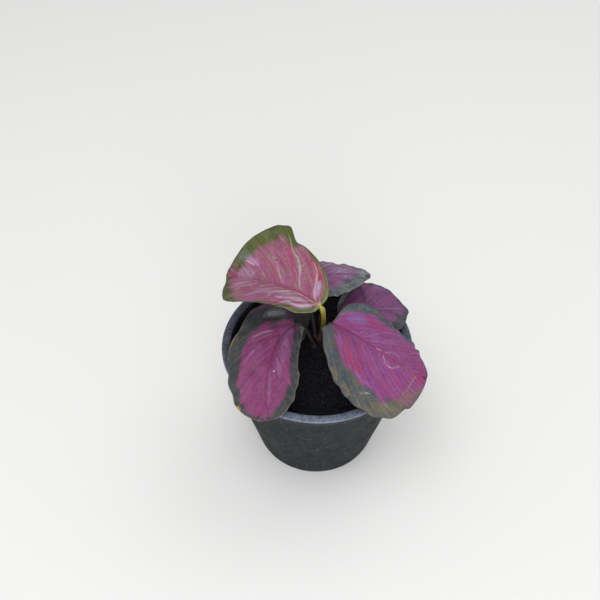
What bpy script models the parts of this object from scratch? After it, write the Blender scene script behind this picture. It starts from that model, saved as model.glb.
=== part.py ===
"""Potted calathea with six leaves in a round plastic nursery pot.

The pot stands on its flat base at z = 0, with its axis on +Z and the origin in
the middle of the base. Lengths are named in millimetres and scaled to metres
when a mesh is made.
"""

import math
from dataclasses import dataclass

import bmesh
import bpy
import numpy as np
from mathutils import Vector, noise

MM = 0.001
GAP = 0.3

POT_HEIGHT = 75.0
POT_RIM_RADIUS = 50.0
POT_BASE_RADIUS = 33.0
LIP_WIDTH = 4.7
LIP_DEPTH = 9.0
LIP_ROUNDING = 1.6
LIP_ANGLES = (15, 45, 75, 105, 135, 165)
WALL = 2.2
FLOOR = 2.2
FOOT_WIDTH = 4.0
HUB_RADIUS = 14.0
RECESS = 1.5
FOOT_ROUNDING = 1.2
FLOOR_ROUNDING = 2.0
WALL_LEVELS = (20.0, 42.0)
DRAIN_HOLES = 6
DRAIN_RADIUS = 3.0
DRAIN_CIRCLE = 21.5
POT_SEGMENTS = 64

SOIL_EDGE_LEVEL = 66.0
SOIL_MOUND = 1.4
SOIL_ROUGHNESS = 0.9
SOIL_RINGS = 9
SOIL_SEGMENTS = 48
WALL_GAP = 0.45

CROWN_CENTRE = (1.5, 5.5)
CROWN_RADIUS = 5.6
CROWN_BOTTOM = 57.0
CROWN_SHOULDER = 65.0
CROWN_TOP = 67.4
CROWN_SPREAD = 3.8
SHEATH_SIDES = 10
SHEATH_WALL = 0.5
TALL_SHEATH_RADIUS = 1.1
TALL_SHEATH_FOOT = (2.4, 8.8, 62.0)
TALL_SHEATH_TOP = (1.4, 9.4, 86.0)

BLADE_THICKNESS = 0.7
BLADE_STATIONS = 19
BLADE_COLUMNS = (0.0, 0.06, 0.24, 0.44, 0.64, 0.83, 1.0)
ROLLED_COLUMNS = (0.0, 0.06, 0.25, 0.44, 0.58, 0.68, 0.76, 0.84, 0.92, 1.0)
RIDGE_HEIGHT = 0.9
SECTION_STEPS = 16
MARGIN_SHARES = (0.2, 0.4, 0.6, 0.8)
MARGIN_SPREAD = 0.12
LOBE_SHARE = 0.07

PETIOLE_SIDES = 8
PETIOLE_STATIONS = 14
PULVINUS_SHARE = 0.8
PULVINUS_SWELL = 0.22
PULVINUS_SPREAD = 0.12
PETIOLE_TAPER = 0.25


@dataclass(frozen=True)
class Leaf:
    """One leaf: a blade on a petiole that rises from the crown.

    A triple of angles holds degrees at the base, middle and tip. Heading is
    measured from +X towards +Y, pitch upwards, and roll lifts the left side.
    Folds lift each half of the blade from its midrib, and curls add to them
    towards the margin. Margins say how far each side stands out from a plain
    oval at four shares of the length. A nick is (side, share, spread, depth),
    and a roll is (side, share, spread, turn, start), with side 1 left, -1 right.
    """

    name: str
    base: tuple
    length: float
    widths: tuple
    heading: tuple
    pitch: tuple
    roll: tuple
    left_fold: tuple
    right_fold: tuple
    left_curl: tuple
    right_curl: tuple
    egg: float
    square: float
    lobes: tuple
    sweep: float
    left_margin: tuple
    right_margin: tuple
    crown_angle: float
    crown_level: float
    petiole_radius: float
    rise: tuple
    reach: float
    top_colour: tuple
    petiole_colour: tuple
    nicks: tuple = ()
    rolls: tuple = ()
    wave: float = 0.0
    waves: float = 3.0
    phases: tuple = (0.0, 0.4)
    point: float = 2.0
    crown_offset: float = CROWN_SPREAD


PINK = (0.62, 0.16, 0.27, 1.0)
MAGENTA = (0.32, 0.05, 0.20, 1.0)
PLUM = (0.19, 0.04, 0.14, 1.0)
GREY_GREEN = (0.10, 0.12, 0.11, 1.0)
YELLOW_GREEN = (0.45, 0.42, 0.08, 1.0)
BROWN_PURPLE = (0.07, 0.03, 0.035, 1.0)
POT_BLACK = (0.022, 0.023, 0.025, 1.0)
SOIL_BLACK = (0.012, 0.010, 0.009, 1.0)

LEAVES = (
    Leaf(
        name="young_leaf",
        base=(1.5, 5.0, 98.0),
        length=55.5,
        widths=(26.0, 28.5),
        heading=(144.0, 153.0, 150.0),
        pitch=(20.0, -7.0, -13.0),
        roll=(-7.0, 0.0, -10.0),
        left_fold=(16.0, 18.0, 4.0),
        right_fold=(43.0, 36.0, 37.0),
        left_curl=(-1.0, 2.0, -5.0),
        right_curl=(3.0, -1.0, -4.0),
        egg=1.23,
        square=1.8,
        lobes=(2.0, 2.5),
        sweep=0.01,
        left_margin=(0.5, -1.0, -1.0, 0.5),
        right_margin=(0.0, -2.0, 2.0, 0.0),
        nicks=((1, 0.14, 0.05, 1.5), (1, 0.23, 0.04, -1.0), (-1, 0.51, 0.05, 2.5), (-1, 0.42, 0.04, -1.2)),
        crown_angle=0.0,
        crown_offset=0.0,
        crown_level=73.0,
        petiole_radius=1.45,
        rise=(3.4, 1.0, 9.0),
        reach=1.2,
        top_colour=PINK,
        petiole_colour=YELLOW_GREEN,
    ),
    Leaf(
        name="front_left_leaf",
        base=(-11.2, 5.0, 83.5),
        length=59.5,
        widths=(15.5, 21.0),
        heading=(-144.0, -99.0, -101.0),
        pitch=(4.0, -8.0, -12.0),
        roll=(4.0, 2.0, 3.0),
        left_fold=(24.0, 14.0, 3.0),
        right_fold=(21.0, 12.0, -4.0),
        left_curl=(0.0, -2.0, -6.0),
        right_curl=(1.0, 3.0, 2.0),
        egg=0.98,
        square=2.3,
        lobes=(1.0, 1.5),
        sweep=0.03,
        left_margin=(0.0, -0.5, 1.0, 1.0),
        right_margin=(2.0, 0.5, -1.5, -2.0),
        nicks=((-1, 0.3, 0.05, -1.5), (-1, 0.12, 0.1, 3.5)),
        point=0.5,
        rolls=((-1, 0.1, 0.14, 190.0, 0.74),),
        wave=0.5,
        crown_angle=225.0,
        crown_level=70.0,
        petiole_radius=1.2,
        rise=(-2.5, 0.0, 4.0),
        reach=5.0,
        top_colour=MAGENTA,
        petiole_colour=BROWN_PURPLE,
    ),
    Leaf(
        name="front_right_leaf",
        base=(7.5, 1.0, 89.0),
        length=54.0,
        widths=(22.0, 32.5),
        heading=(-26.0, -35.0, -11.0),
        pitch=(-1.0, -11.0, -27.0),
        roll=(-6.0, -3.0, 3.0),
        left_fold=(23.0, -4.0, -4.0),
        right_fold=(35.0, 4.0, -5.0),
        left_curl=(-1.0, -13.0, -12.0),
        right_curl=(0.0, -10.0, -15.0),
        egg=1.06,
        square=2.75,
        lobes=(0.0, 2.0),
        sweep=0.01,
        left_margin=(2.5, -1.5, 0.5, -0.5),
        right_margin=(-0.5, 0.0, 1.0, 0.5),
        nicks=((-1, 0.92, 0.02, -2.0),),
        wave=0.6,
        crown_angle=-50.0,
        crown_level=71.0,
        petiole_radius=1.3,
        rise=(0.5, -0.5, 6.0),
        reach=2.0,
        top_colour=MAGENTA,
        petiole_colour=BROWN_PURPLE,
    ),
    Leaf(
        name="back_right_leaf",
        base=(12.1, 13.2, 79.2),
        length=37.0,
        widths=(17.0, 16.0),
        heading=(12.0, 12.0, 9.0),
        pitch=(16.0, -2.0, -23.0),
        roll=(1.0, 3.0, -1.0),
        left_fold=(12.0, 7.0, -4.0),
        right_fold=(10.0, 3.0, -1.0),
        left_curl=(2.0, 2.0, -2.0),
        right_curl=(0.0, -1.0, -1.0),
        egg=0.97,
        square=2.25,
        lobes=(0.5, 2.0),
        sweep=0.01,
        left_margin=(0.0, 1.0, 0.0, 0.0),
        right_margin=(0.0, 0.0, 0.5, 0.5),
        crown_angle=32.0,
        crown_level=70.5,
        petiole_radius=1.1,
        rise=(0.0, 0.5, 4.0),
        reach=5.0,
        top_colour=PLUM,
        petiole_colour=BROWN_PURPLE,
    ),
    Leaf(
        name="back_leaf",
        base=(-1.5, 22.0, 96.5),
        length=29.0,
        widths=(15.0, 13.5),
        heading=(33.0, 9.0, -10.0),
        pitch=(21.0, 0.0, -8.0),
        roll=(7.0, -2.0, -5.0),
        left_fold=(-1.0, -13.0, -18.0),
        right_fold=(-7.0, -4.0, -1.0),
        left_curl=(-9.0, -14.0, -22.0),
        right_curl=(-1.0, 1.0, 1.0),
        egg=0.85,
        square=2.3,
        lobes=(1.0, 1.0),
        sweep=-0.01,
        left_margin=(0.0, 0.5, 0.0, 1.0),
        right_margin=(0.0, 0.0, 0.0, -0.5),
        crown_angle=128.0,
        crown_level=71.5,
        petiole_radius=1.35,
        rise=(-0.5, 3.5, 9.0),
        reach=6.0,
        top_colour=MAGENTA,
        petiole_colour=BROWN_PURPLE,
    ),
    Leaf(
        name="lower_leaf",
        base=(-5.5, 10.5, 72.5),
        length=32.0,
        widths=(12.0, 13.0),
        heading=(168.0, 167.0, 171.0),
        pitch=(8.0, 1.0, -6.0),
        roll=(-2.0, 2.0, 1.0),
        left_fold=(5.0, 5.0, 5.0),
        right_fold=(14.0, 6.0, 6.0),
        left_curl=(0.0, 0.0, 0.0),
        right_curl=(1.0, -2.0, -2.0),
        egg=0.82,
        square=2.3,
        lobes=(1.0, 1.5),
        sweep=-0.01,
        left_margin=(0.0, 0.0, 0.0, 0.0),
        right_margin=(0.0, 0.0, 0.0, 0.0),
        crown_angle=180.0,
        crown_level=69.5,
        petiole_radius=0.95,
        rise=(-2.2, -0.2, 2.4),
        reach=2.0,
        top_colour=GREY_GREEN,
        petiole_colour=BROWN_PURPLE,
    ),
)


def clear_scene():
    """Remove every object that the scene starts with."""
    for item in list(bpy.data.objects):
        bpy.data.objects.remove(item, do_unlink=True)


def material(name, colour, roughness):
    """Return a new Principled material."""
    made = bpy.data.materials.new(name)
    made.use_nodes = True
    shader = made.node_tree.nodes["Principled BSDF"]
    shader.inputs["Base Color"].default_value = colour
    shader.inputs["Roughness"].default_value = roughness
    shader.inputs["Metallic"].default_value = 0.0
    return made


def add_object(name, mesh, finish):
    """Link a smooth-shaded object that carries the mesh and its material."""
    mesh.materials.append(finish)
    mesh.shade_smooth()
    mesh.set_sharp_from_angle(angle=math.radians(40))
    made = bpy.data.objects.new(name, mesh)
    bpy.context.scene.collection.objects.link(made)
    return made


def mesh_of(name, points, faces):
    """Return a mesh from points in millimetres and faces that wind outwards."""
    mesh = bpy.data.meshes.new(name)
    mesh.from_pydata([tuple(float(c) * MM for c in point) for point in points], [], faces)
    mesh.validate()
    return mesh


def union_of(name, pieces, finish):
    """Join closed objects into one with a Boolean union, and remove the pieces."""
    first = pieces[0]
    rest = bpy.data.collections.new(name + "_pieces")
    bpy.context.scene.collection.children.link(rest)
    for piece in pieces[1:]:
        bpy.context.scene.collection.objects.unlink(piece)
        rest.objects.link(piece)
    join = first.modifiers.new("join", "BOOLEAN")
    join.operation = "UNION"
    join.operand_type = "COLLECTION"
    join.collection = rest
    join.solver = "EXACT"
    bpy.context.view_layer.update()
    evaluated = first.evaluated_get(bpy.context.evaluated_depsgraph_get())
    mesh = bpy.data.meshes.new_from_object(evaluated)
    for piece in pieces:
        bpy.data.objects.remove(piece, do_unlink=True)
    bpy.data.collections.remove(rest)
    mesh.materials.clear()
    return add_object(name, mesh, finish)


def through(values, share):
    """Pass a smooth curve through values at the base, middle and tip."""
    first, middle, last = values
    ahead = first * (1 - share) * (1 - 2 * share)
    return ahead + 4 * middle * share * (1 - share) + last * share * (2 * share - 1)


def blade_frame(leaf, share):
    """Return the midrib's direction, left side and upward normal at shares of its length."""
    heading, pitch, roll = (
        np.radians(through(values, share)) for values in (leaf.heading, leaf.pitch, leaf.roll)
    )
    level = np.cos(pitch)
    along = np.stack([level * np.cos(heading), level * np.sin(heading), np.sin(pitch)], -1)
    flat_side = np.stack([-np.sin(heading), np.cos(heading), np.zeros_like(heading)], -1)
    flat_up = np.cross(along, flat_side)
    turn = roll[..., None]
    side = flat_side * np.cos(turn) + flat_up * np.sin(turn)
    return along, side, flat_up * np.cos(turn) - flat_side * np.sin(turn)


def midrib(leaf, share):
    """Return points on the midrib, carried straight on past both its ends."""
    steps = 60
    marks = np.linspace(0, 1, steps + 1)
    along = blade_frame(leaf, (marks[1:] + marks[:-1]) / 2)[0]
    path = np.vstack([np.zeros(3), np.cumsum(along * leaf.length / steps, 0)]) + np.array(leaf.base)
    inside = np.clip(share, 0, 1)
    points = np.stack([np.interp(inside, marks, path[:, axis]) for axis in range(3)], -1)
    return points + blade_frame(leaf, inside)[0] * ((share - inside) * leaf.length)[..., None]


def half_width(leaf, share, side):
    """Return the flat distance from the midrib to the margin on one side."""
    width, margin = (leaf.widths[0], leaf.left_margin) if side > 0 else (leaf.widths[1], leaf.right_margin)
    egg = np.clip(share, 1e-9, 1) ** leaf.egg
    half = width * np.maximum(0, 1 - np.abs(1 - 2 * egg) ** leaf.square) ** (1 / leaf.square)
    for at, reach in zip(MARGIN_SHARES, margin):
        half = half + reach * np.exp(-(((share - at) / MARGIN_SPREAD) ** 2))
    for nick_side, at, spread, depth in leaf.nicks:
        if nick_side == side:
            half = half + depth * np.exp(-(((share - at) / spread) ** 2))
    return np.where((share <= 0) | (share >= 1), 0.0, half)


def blade_points(leaf, share, across):
    """Return points and upward normals of the blade's middle surface.

    share runs along the midrib from 0 to 1, and across from -1 at the right
    margin to 1 at the left one.
    """
    left = across >= 0
    sign = np.where(left, 1.0, -1.0)
    reach = np.abs(across)
    half = np.where(left, half_width(leaf, share, 1), half_width(leaf, share, -1))
    lobe = np.where(left, *leaf.lobes)
    back = share / LOBE_SHARE * np.exp(1 - share / LOBE_SHARE)
    forward = leaf.sweep * leaf.length * 4 * share * (1 - share) * reach**2
    along = leaf.length * share - lobe * back * reach**1.5 + forward + leaf.point * share**150
    at = along / leaf.length
    inside = np.clip(at, 0, 1)
    fold = np.radians(np.where(left, through(leaf.left_fold, inside), through(leaf.right_fold, inside)))
    curl = np.radians(np.where(left, through(leaf.left_curl, inside), through(leaf.right_curl, inside)))
    full = np.where(left, *leaf.widths)
    outward = np.zeros_like(half)
    upward = np.zeros_like(half)
    angle = fold
    for step in range(SECTION_STEPS):
        part = (step + 0.5) / SECTION_STEPS * reach
        angle = fold + curl * part * half / full
        for side, place, spread, turn, start in leaf.rolls:
            bend = np.clip((part - start) / (1 - start), 0, 1)
            bend = bend * np.exp(-(((share - place) / spread) ** 2)) * (sign == side)
            angle = angle + np.radians(turn) * bend
        outward = outward + np.cos(angle) * reach * half / SECTION_STEPS
        upward = upward + np.sin(angle) * reach * half / SECTION_STEPS
    phase = np.where(left, *leaf.phases)
    ripple = np.sin(2 * np.pi * (leaf.waves * share + phase))
    upward = upward + leaf.wave * reach**3 * ripple * np.minimum(1, half / (0.4 * full))
    _, side_way, up = blade_frame(leaf, inside)
    points = midrib(leaf, at) + side_way * (sign * outward)[..., None] + up * upward[..., None]
    normals = up * np.cos(angle)[..., None] - side_way * (sign * np.sin(angle))[..., None]
    return points, normals


def make_blade(leaf):
    """Build a closed thin blade, with alike triangles on both faces and a ridge below."""
    columns = ROLLED_COLUMNS if leaf.rolls else BLADE_COLUMNS
    spread = np.array([-value for value in reversed(columns[1:])] + list(columns))
    turns = np.linspace(0, math.pi, BLADE_STATIONS)
    stations = (1 - np.cos(turns)) / 2
    inner = stations[1:-1]
    share, across = np.meshgrid(inner, spread, indexing="ij")
    ends = np.array([0.0, 1.0])
    points, normals = blade_points(leaf, share.ravel(), across.ravel())
    end_points, end_normals = blade_points(leaf, ends, np.zeros(2))
    points = np.vstack([points, end_points])
    normals = np.vstack([normals, end_normals])
    ridge = np.where(across.ravel() == 0, RIDGE_HEIGHT * (1 - 0.8 * share.ravel()), 0.0)
    ridge = np.append(ridge, [RIDGE_HEIGHT, 0.0])
    upper = points + normals * BLADE_THICKNESS / 2
    lower = points - normals * (BLADE_THICKNESS / 2 + ridge[:, None])
    count = len(points)
    width = len(spread)
    rows = len(inner)
    base, tip = count - 2, count - 1
    triangles = []
    for row in range(rows - 1):
        for column in range(width - 1):
            near = row * width + column
            far = near + width
            triangles.append((near, far, near + 1))
            triangles.append((near + 1, far, far + 1))
    for column in range(width - 1):
        last = (rows - 1) * width + column
        triangles.append((base, column, column + 1))
        triangles.append((last + 1, last, tip))
    rim = [base] + [row * width for row in range(rows)] + [tip]
    rim += [row * width + width - 1 for row in reversed(range(rows))]
    faces = [tuple(reversed([corner + count for corner in face])) for face in triangles]
    faces += triangles
    for index, start in enumerate(rim):
        end = rim[(index + 1) % len(rim)]
        faces.append((start, start + count, end + count))
        faces.append((start, end + count, end))
    return mesh_of(leaf.name + "_blade", np.vstack([upper, lower]), faces)


def tube_points(path, radii, sides):
    """Return rings of points round a path, each square to it."""
    rings = []
    normal = None
    for index, centre in enumerate(path):
        ahead = path[min(index + 1, len(path) - 1)] - path[max(index - 1, 0)]
        ahead.normalize()
        if normal is None:
            normal = ahead.orthogonal().normalized()
        normal = (normal - ahead * normal.dot(ahead)).normalized()
        binormal = ahead.cross(normal)
        ring = []
        for side in range(sides):
            angle = math.tau * side / sides
            offset = normal * math.cos(angle) + binormal * math.sin(angle)
            ring.append(centre + offset * radii[index])
        rings.append(ring)
    return rings


def tube_mesh(name, path, radii, sides):
    """Return a closed tube with flat ends."""
    rings = tube_points(path, radii, sides)
    points = [point for ring in rings for point in ring]
    faces = [tuple(reversed(range(sides)))]
    for row in range(len(rings) - 1):
        for side in range(sides):
            here = row * sides + side
            beside = row * sides + (side + 1) % sides
            faces.append((here, beside, beside + sides, here + sides))
    last = (len(rings) - 1) * sides
    faces.append(tuple(range(last, last + sides)))
    return mesh_of(name, points, faces)


def crown_socket(leaf):
    """Return the point where a leaf's sheath ends and its petiole starts."""
    angle = math.radians(leaf.crown_angle)
    x = CROWN_CENTRE[0] + leaf.crown_offset * math.cos(angle)
    y = CROWN_CENTRE[1] + leaf.crown_offset * math.sin(angle)
    return Vector((x, y, leaf.crown_level))


def petiole_path(leaf):
    """Return the petiole's centre line, from its sheath to just behind the blade."""
    start = crown_socket(leaf)
    along, _, up = (Vector(way[0]) for way in blade_frame(leaf, np.zeros(1)))
    end = Vector(leaf.base) - along * (2 * GAP) - up * (BLADE_THICKNESS / 2 + RIDGE_HEIGHT / 2)
    near = start + Vector(leaf.rise)
    start = start + Vector(leaf.rise).normalized() * GAP
    far = end - along * leaf.reach
    path = []
    for index in range(PETIOLE_STATIONS):
        t = index / (PETIOLE_STATIONS - 1)
        weights = ((1 - t) ** 3, 3 * t * (1 - t) ** 2, 3 * t * t * (1 - t), t**3)
        ends = (start, near, far, end)
        path.append(sum((point * weight for point, weight in zip(ends, weights)), Vector()))
    return path


def make_petiole(leaf):
    """Build a petiole that thins upwards and swells again just below the blade."""
    radii = []
    for index in range(PETIOLE_STATIONS):
        t = index / (PETIOLE_STATIONS - 1)
        swell = PULVINUS_SWELL * math.exp(-(((t - PULVINUS_SHARE) / PULVINUS_SPREAD) ** 2))
        radii.append(leaf.petiole_radius * (1 - PETIOLE_TAPER * t + swell))
    return tube_mesh(leaf.name + "_petiole", petiole_path(leaf), radii, PETIOLE_SIDES)


def make_crown(finish):
    """Build the crown: a short stock in the soil and one leaf sheath for each petiole."""
    x, y = CROWN_CENTRE
    levels = (CROWN_BOTTOM, CROWN_SHOULDER, (CROWN_SHOULDER + CROWN_TOP) / 2, CROWN_TOP)
    radii = (CROWN_RADIUS, CROWN_RADIUS, CROWN_RADIUS * 0.85, CROWN_RADIUS * 0.4)
    stock = tube_mesh("stock", [Vector((x, y, level)) for level in levels], radii, 20)
    pieces = [add_object("stock", stock, finish)]
    for leaf in LEAVES:
        top = crown_socket(leaf)
        lean = Vector(leaf.rise).normalized()
        foot = Vector((x + (top.x - x) * 0.6, y + (top.y - y) * 0.6, CROWN_SHOULDER - 4))
        middle = top - lean * 2.0
        path = [foot, (foot + middle) / 2, middle, top]
        wide = leaf.petiole_radius + SHEATH_WALL
        sheath = tube_mesh("sheath", path, (wide + 0.9, wide + 0.6, wide + 0.2, wide), SHEATH_SIDES)
        pieces.append(add_object(leaf.name + "_sheath", sheath, finish))
    foot, top = Vector(TALL_SHEATH_FOOT), Vector(TALL_SHEATH_TOP)
    path = [foot, foot.lerp(top, 0.5), foot.lerp(top, 0.85), top]
    radii = [TALL_SHEATH_RADIUS * share for share in (1.4, 1.0, 0.9, 0.55)]
    pieces.append(add_object("tall_sheath", tube_mesh("tall", path, radii, SHEATH_SIDES), finish))
    return union_of("crown", pieces, finish)


def outer_radius(level):
    """Return the pot's outer radius at a height."""
    return POT_BASE_RADIUS + (POT_RIM_RADIUS - POT_BASE_RADIUS) * level / POT_HEIGHT


def inner_radius(level):
    """Return the pot's inner radius at a height, thicker at the lip."""
    lip_start = POT_HEIGHT - LIP_DEPTH
    share = max(0.0, (level - lip_start) / LIP_DEPTH)
    return outer_radius(level) - WALL - (LIP_WIDTH - WALL) * share


def pot_profile():
    """Return the pot's half section from the middle of its base round to the inner floor."""
    recess_inner = HUB_RADIUS + RECESS
    recess_outer = POT_BASE_RADIUS - FOOT_WIDTH - RECESS
    lip = LIP_WIDTH / 2
    profile = [
        (HUB_RADIUS, 0.0),
        (recess_inner, RECESS),
        (recess_outer, RECESS),
        (POT_BASE_RADIUS - FOOT_WIDTH, 0.0),
        (POT_BASE_RADIUS - FOOT_ROUNDING, 0.0),
        (outer_radius(FOOT_ROUNDING), FOOT_ROUNDING),
    ]
    lip_start = POT_HEIGHT - LIP_DEPTH
    for level in (*WALL_LEVELS, lip_start, POT_HEIGHT - 1.5 * LIP_ROUNDING):
        profile.append((outer_radius(level), level))
    for angle in LIP_ANGLES:
        turn = math.radians(angle)
        radius = POT_RIM_RADIUS - lip + lip * math.cos(turn)
        profile.append((radius, POT_HEIGHT - LIP_ROUNDING + LIP_ROUNDING * math.sin(turn)))
    floor = RECESS + FLOOR
    bend = floor + FLOOR_ROUNDING
    for level in (POT_HEIGHT - 2 * LIP_ROUNDING, lip_start, *reversed(WALL_LEVELS), bend):
        profile.append((inner_radius(level), level))
    profile.append((inner_radius(floor) - FLOOR_ROUNDING, floor))
    return profile


def revolve(name, profile, segments):
    """Return a closed mesh turned from an open half section, with a centre point at each end."""
    points = []
    for radius, level in profile:
        for segment in range(segments):
            angle = math.tau * segment / segments
            points.append((radius * math.cos(angle), radius * math.sin(angle), level))
    bottom = len(points)
    points.append((0.0, 0.0, profile[0][1]))
    points.append((0.0, 0.0, profile[-1][1]))
    faces = []
    for row in range(len(profile) - 1):
        for segment in range(segments):
            here = row * segments + segment
            beside = row * segments + (segment + 1) % segments
            faces.append((here, beside, beside + segments, here + segments))
    last = (len(profile) - 1) * segments
    for segment in range(segments):
        beside = (segment + 1) % segments
        faces.append((bottom, beside, segment))
        faces.append((bottom + 1, last + segment, last + beside))
    return mesh_of(name, points, faces)


def make_pot(finish):
    """Build the pot with its rounded lip and drained base."""
    pot = add_object("pot", revolve("pot", pot_profile(), POT_SEGMENTS), finish)
    cutters = bpy.data.collections.new("drain_cutters")
    bpy.context.scene.collection.children.link(cutters)
    for index in range(DRAIN_HOLES):
        angle = math.tau * (index + 0.5) / DRAIN_HOLES
        mesh = bpy.data.meshes.new("drain_cutter")
        shape = bmesh.new()
        bmesh.ops.create_cone(
            shape,
            cap_ends=True,
            segments=16,
            radius1=DRAIN_RADIUS * MM,
            radius2=DRAIN_RADIUS * MM,
            depth=3 * (FLOOR + RECESS) * MM,
        )
        shape.to_mesh(mesh)
        shape.free()
        cutter = bpy.data.objects.new("drain_cutter", mesh)
        cutter.location = (
            DRAIN_CIRCLE * math.cos(angle) * MM,
            DRAIN_CIRCLE * math.sin(angle) * MM,
            FLOOR * MM,
        )
        cutter.hide_render = True
        cutter.display_type = "WIRE"
        cutters.objects.link(cutter)
    drain = pot.modifiers.new("drain", "BOOLEAN")
    drain.operation = "DIFFERENCE"
    drain.operand_type = "COLLECTION"
    drain.collection = cutters
    drain.solver = "EXACT"
    return pot


def soil_level(x, y):
    """Return the uneven height of the soil at a place."""
    radius = math.hypot(x, y)
    edge = inner_radius(SOIL_EDGE_LEVEL)
    mound = SOIL_MOUND * (1 - (radius / edge) ** 2)
    rough = noise.fractal(Vector((x, y, 3.0)) / 9.0, 1.0, 2.0, 3)
    return SOIL_EDGE_LEVEL + mound + SOIL_ROUGHNESS * rough


def make_soil(finish):
    """Build the soil, with a plain hole where the crown stands in it."""
    floor = RECESS + FLOOR + GAP
    bend = floor + FLOOR_ROUNDING
    centre_x, centre_y = CROWN_CENTRE
    hole = CROWN_RADIUS + GAP
    edge = inner_radius(SOIL_EDGE_LEVEL) - WALL_GAP
    points = []
    for ring in range(SOIL_RINGS):
        share = ring / (SOIL_RINGS - 1)
        for segment in range(SOIL_SEGMENTS):
            angle = math.tau * segment / SOIL_SEGMENTS
            radius = hole + (edge - hole) * share
            x = centre_x * (1 - share) + radius * math.cos(angle)
            y = centre_y * (1 - share) + radius * math.sin(angle)
            points.append((x, y, soil_level(x, y)))
    rings = [(inner_radius(level) - WALL_GAP, level) for level in (*reversed(WALL_LEVELS), bend)]
    rings.append((inner_radius(floor) - FLOOR_ROUNDING - WALL_GAP, floor))
    for radius, level in rings:
        for segment in range(SOIL_SEGMENTS):
            angle = math.tau * segment / SOIL_SEGMENTS
            points.append((radius * math.cos(angle), radius * math.sin(angle), level))
    well = len(points)
    for segment in range(SOIL_SEGMENTS):
        angle = math.tau * segment / SOIL_SEGMENTS
        x = centre_x + hole * math.cos(angle)
        points.append((x, centre_y + hole * math.sin(angle), CROWN_BOTTOM - GAP))
    faces = []
    for row in range(SOIL_RINGS + len(rings) - 1):
        for segment in range(SOIL_SEGMENTS):
            here = row * SOIL_SEGMENTS + segment
            beside = row * SOIL_SEGMENTS + (segment + 1) % SOIL_SEGMENTS
            faces.append((here, here + SOIL_SEGMENTS, beside + SOIL_SEGMENTS, beside))
    for segment in range(SOIL_SEGMENTS):
        beside = (segment + 1) % SOIL_SEGMENTS
        faces.append((segment, beside, well + beside, well + segment))
    faces.append(tuple(range(well, well + SOIL_SEGMENTS)))
    under = (SOIL_RINGS + len(rings) - 1) * SOIL_SEGMENTS
    faces.append(tuple(reversed(range(under, under + SOIL_SEGMENTS))))
    return add_object("soil", mesh_of("soil", points, faces), finish)


def main():
    """Build every piece of the potted plant."""
    clear_scene()
    make_pot(material("pot_plastic", POT_BLACK, 0.6))
    make_soil(material("soil_mix", SOIL_BLACK, 0.95))
    make_crown(material("crown_sheath", BROWN_PURPLE, 0.6))
    for leaf in LEAVES:
        skin = material(leaf.name + "_skin", leaf.top_colour, 0.5)
        add_object(leaf.name + "_blade", make_blade(leaf), skin)
        stalk = material(leaf.name + "_stalk", leaf.petiole_colour, 0.5)
        add_object(leaf.name + "_petiole", make_petiole(leaf), stalk)


main()
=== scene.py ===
"""Dressed model of a potted calathea: six patterned leaves in a round plastic nursery pot.

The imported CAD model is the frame. This script puts a finer leaf, stalk, crown, soil or pot in
the place of each CAD solid, with the finish of the real one, on a plain studio floor and seen
from the photograph's angle. Lengths are named in millimetres and scaled to metres when a mesh
is made.
"""

import logging
import math
from collections.abc import Iterable
from dataclasses import dataclass
from enum import Enum
from functools import partial

import bmesh
import bpy
import numpy as np
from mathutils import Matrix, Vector, noise


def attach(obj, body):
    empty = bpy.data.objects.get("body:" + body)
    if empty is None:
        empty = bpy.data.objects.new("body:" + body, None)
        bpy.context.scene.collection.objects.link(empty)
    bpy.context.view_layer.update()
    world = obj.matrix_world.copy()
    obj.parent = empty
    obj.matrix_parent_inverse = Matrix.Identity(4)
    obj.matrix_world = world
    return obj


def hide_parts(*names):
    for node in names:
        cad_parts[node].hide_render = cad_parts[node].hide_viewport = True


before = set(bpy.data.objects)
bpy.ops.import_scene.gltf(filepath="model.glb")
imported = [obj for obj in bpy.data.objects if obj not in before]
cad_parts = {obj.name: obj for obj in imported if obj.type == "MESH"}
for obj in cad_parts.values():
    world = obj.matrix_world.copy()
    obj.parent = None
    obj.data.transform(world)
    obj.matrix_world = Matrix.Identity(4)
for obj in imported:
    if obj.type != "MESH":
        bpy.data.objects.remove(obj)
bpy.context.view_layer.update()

MM = 0.001
BODY = "root"
LONGEST_FIBRE = 1.3  # How much longer the longest coir fibres are than the usual one.

# The two kinds of node that the materials use most.
RANGE = "ShaderNodeMapRange"
MATH = "ShaderNodeMath"

log = logging.getLogger("potted_calathea")

Pair = tuple[float, float]
Triple = tuple[float, float, float]
Colour = tuple[float, float, float, float]
Section = list[tuple[float, float, float, float]]
Array = np.ndarray
Material = bpy.types.Material
Mesh = bpy.types.Mesh
Socket = bpy.types.NodeSocket
Tree = bpy.types.NodeTree


class Mark(Enum):
    """The colours that a mark on a blade can have. Each is one attribute of the blade's mesh."""

    GREEN = "green"
    ROSE = "rose"
    LILAC = "lilac"
    CREAM = "cream"
    BROWN = "brown"
    PALE = "pale"
    DARK = "dark"


class Side(Enum):
    """The two halves of a blade, seen from above with its tip ahead."""

    LEFT = 1
    RIGHT = -1


def linear(code: str) -> Colour:
    """Turn an sRGB hex colour into linear RGBA.

    Args:
        code: Six hex digits after a hash sign.

    Returns:
        Red, green, blue and an alpha of one.
    """
    channels = [int(code[start : start + 2], 16) / 255 for start in (1, 3, 5)]
    return (*((c / 12.92 if c <= 0.04045 else ((c + 0.055) / 1.055) ** 2.4) for c in channels), 1.0)


def feed(node: bpy.types.Node, inputs: dict[str | int, object]) -> None:
    """Set or link some of a node's inputs.

    Args:
        node: The node.
        inputs: Values or output sockets, by the input's name or number.
    """
    for key, value in inputs.items():
        if isinstance(key, int):
            socket = node.inputs[key]
        else:
            socket = next(item for item in node.inputs if item.enabled and item.name == key)
        if isinstance(value, Socket):
            node.id_data.links.new(value, socket)
        else:
            socket.default_value = value


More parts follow.
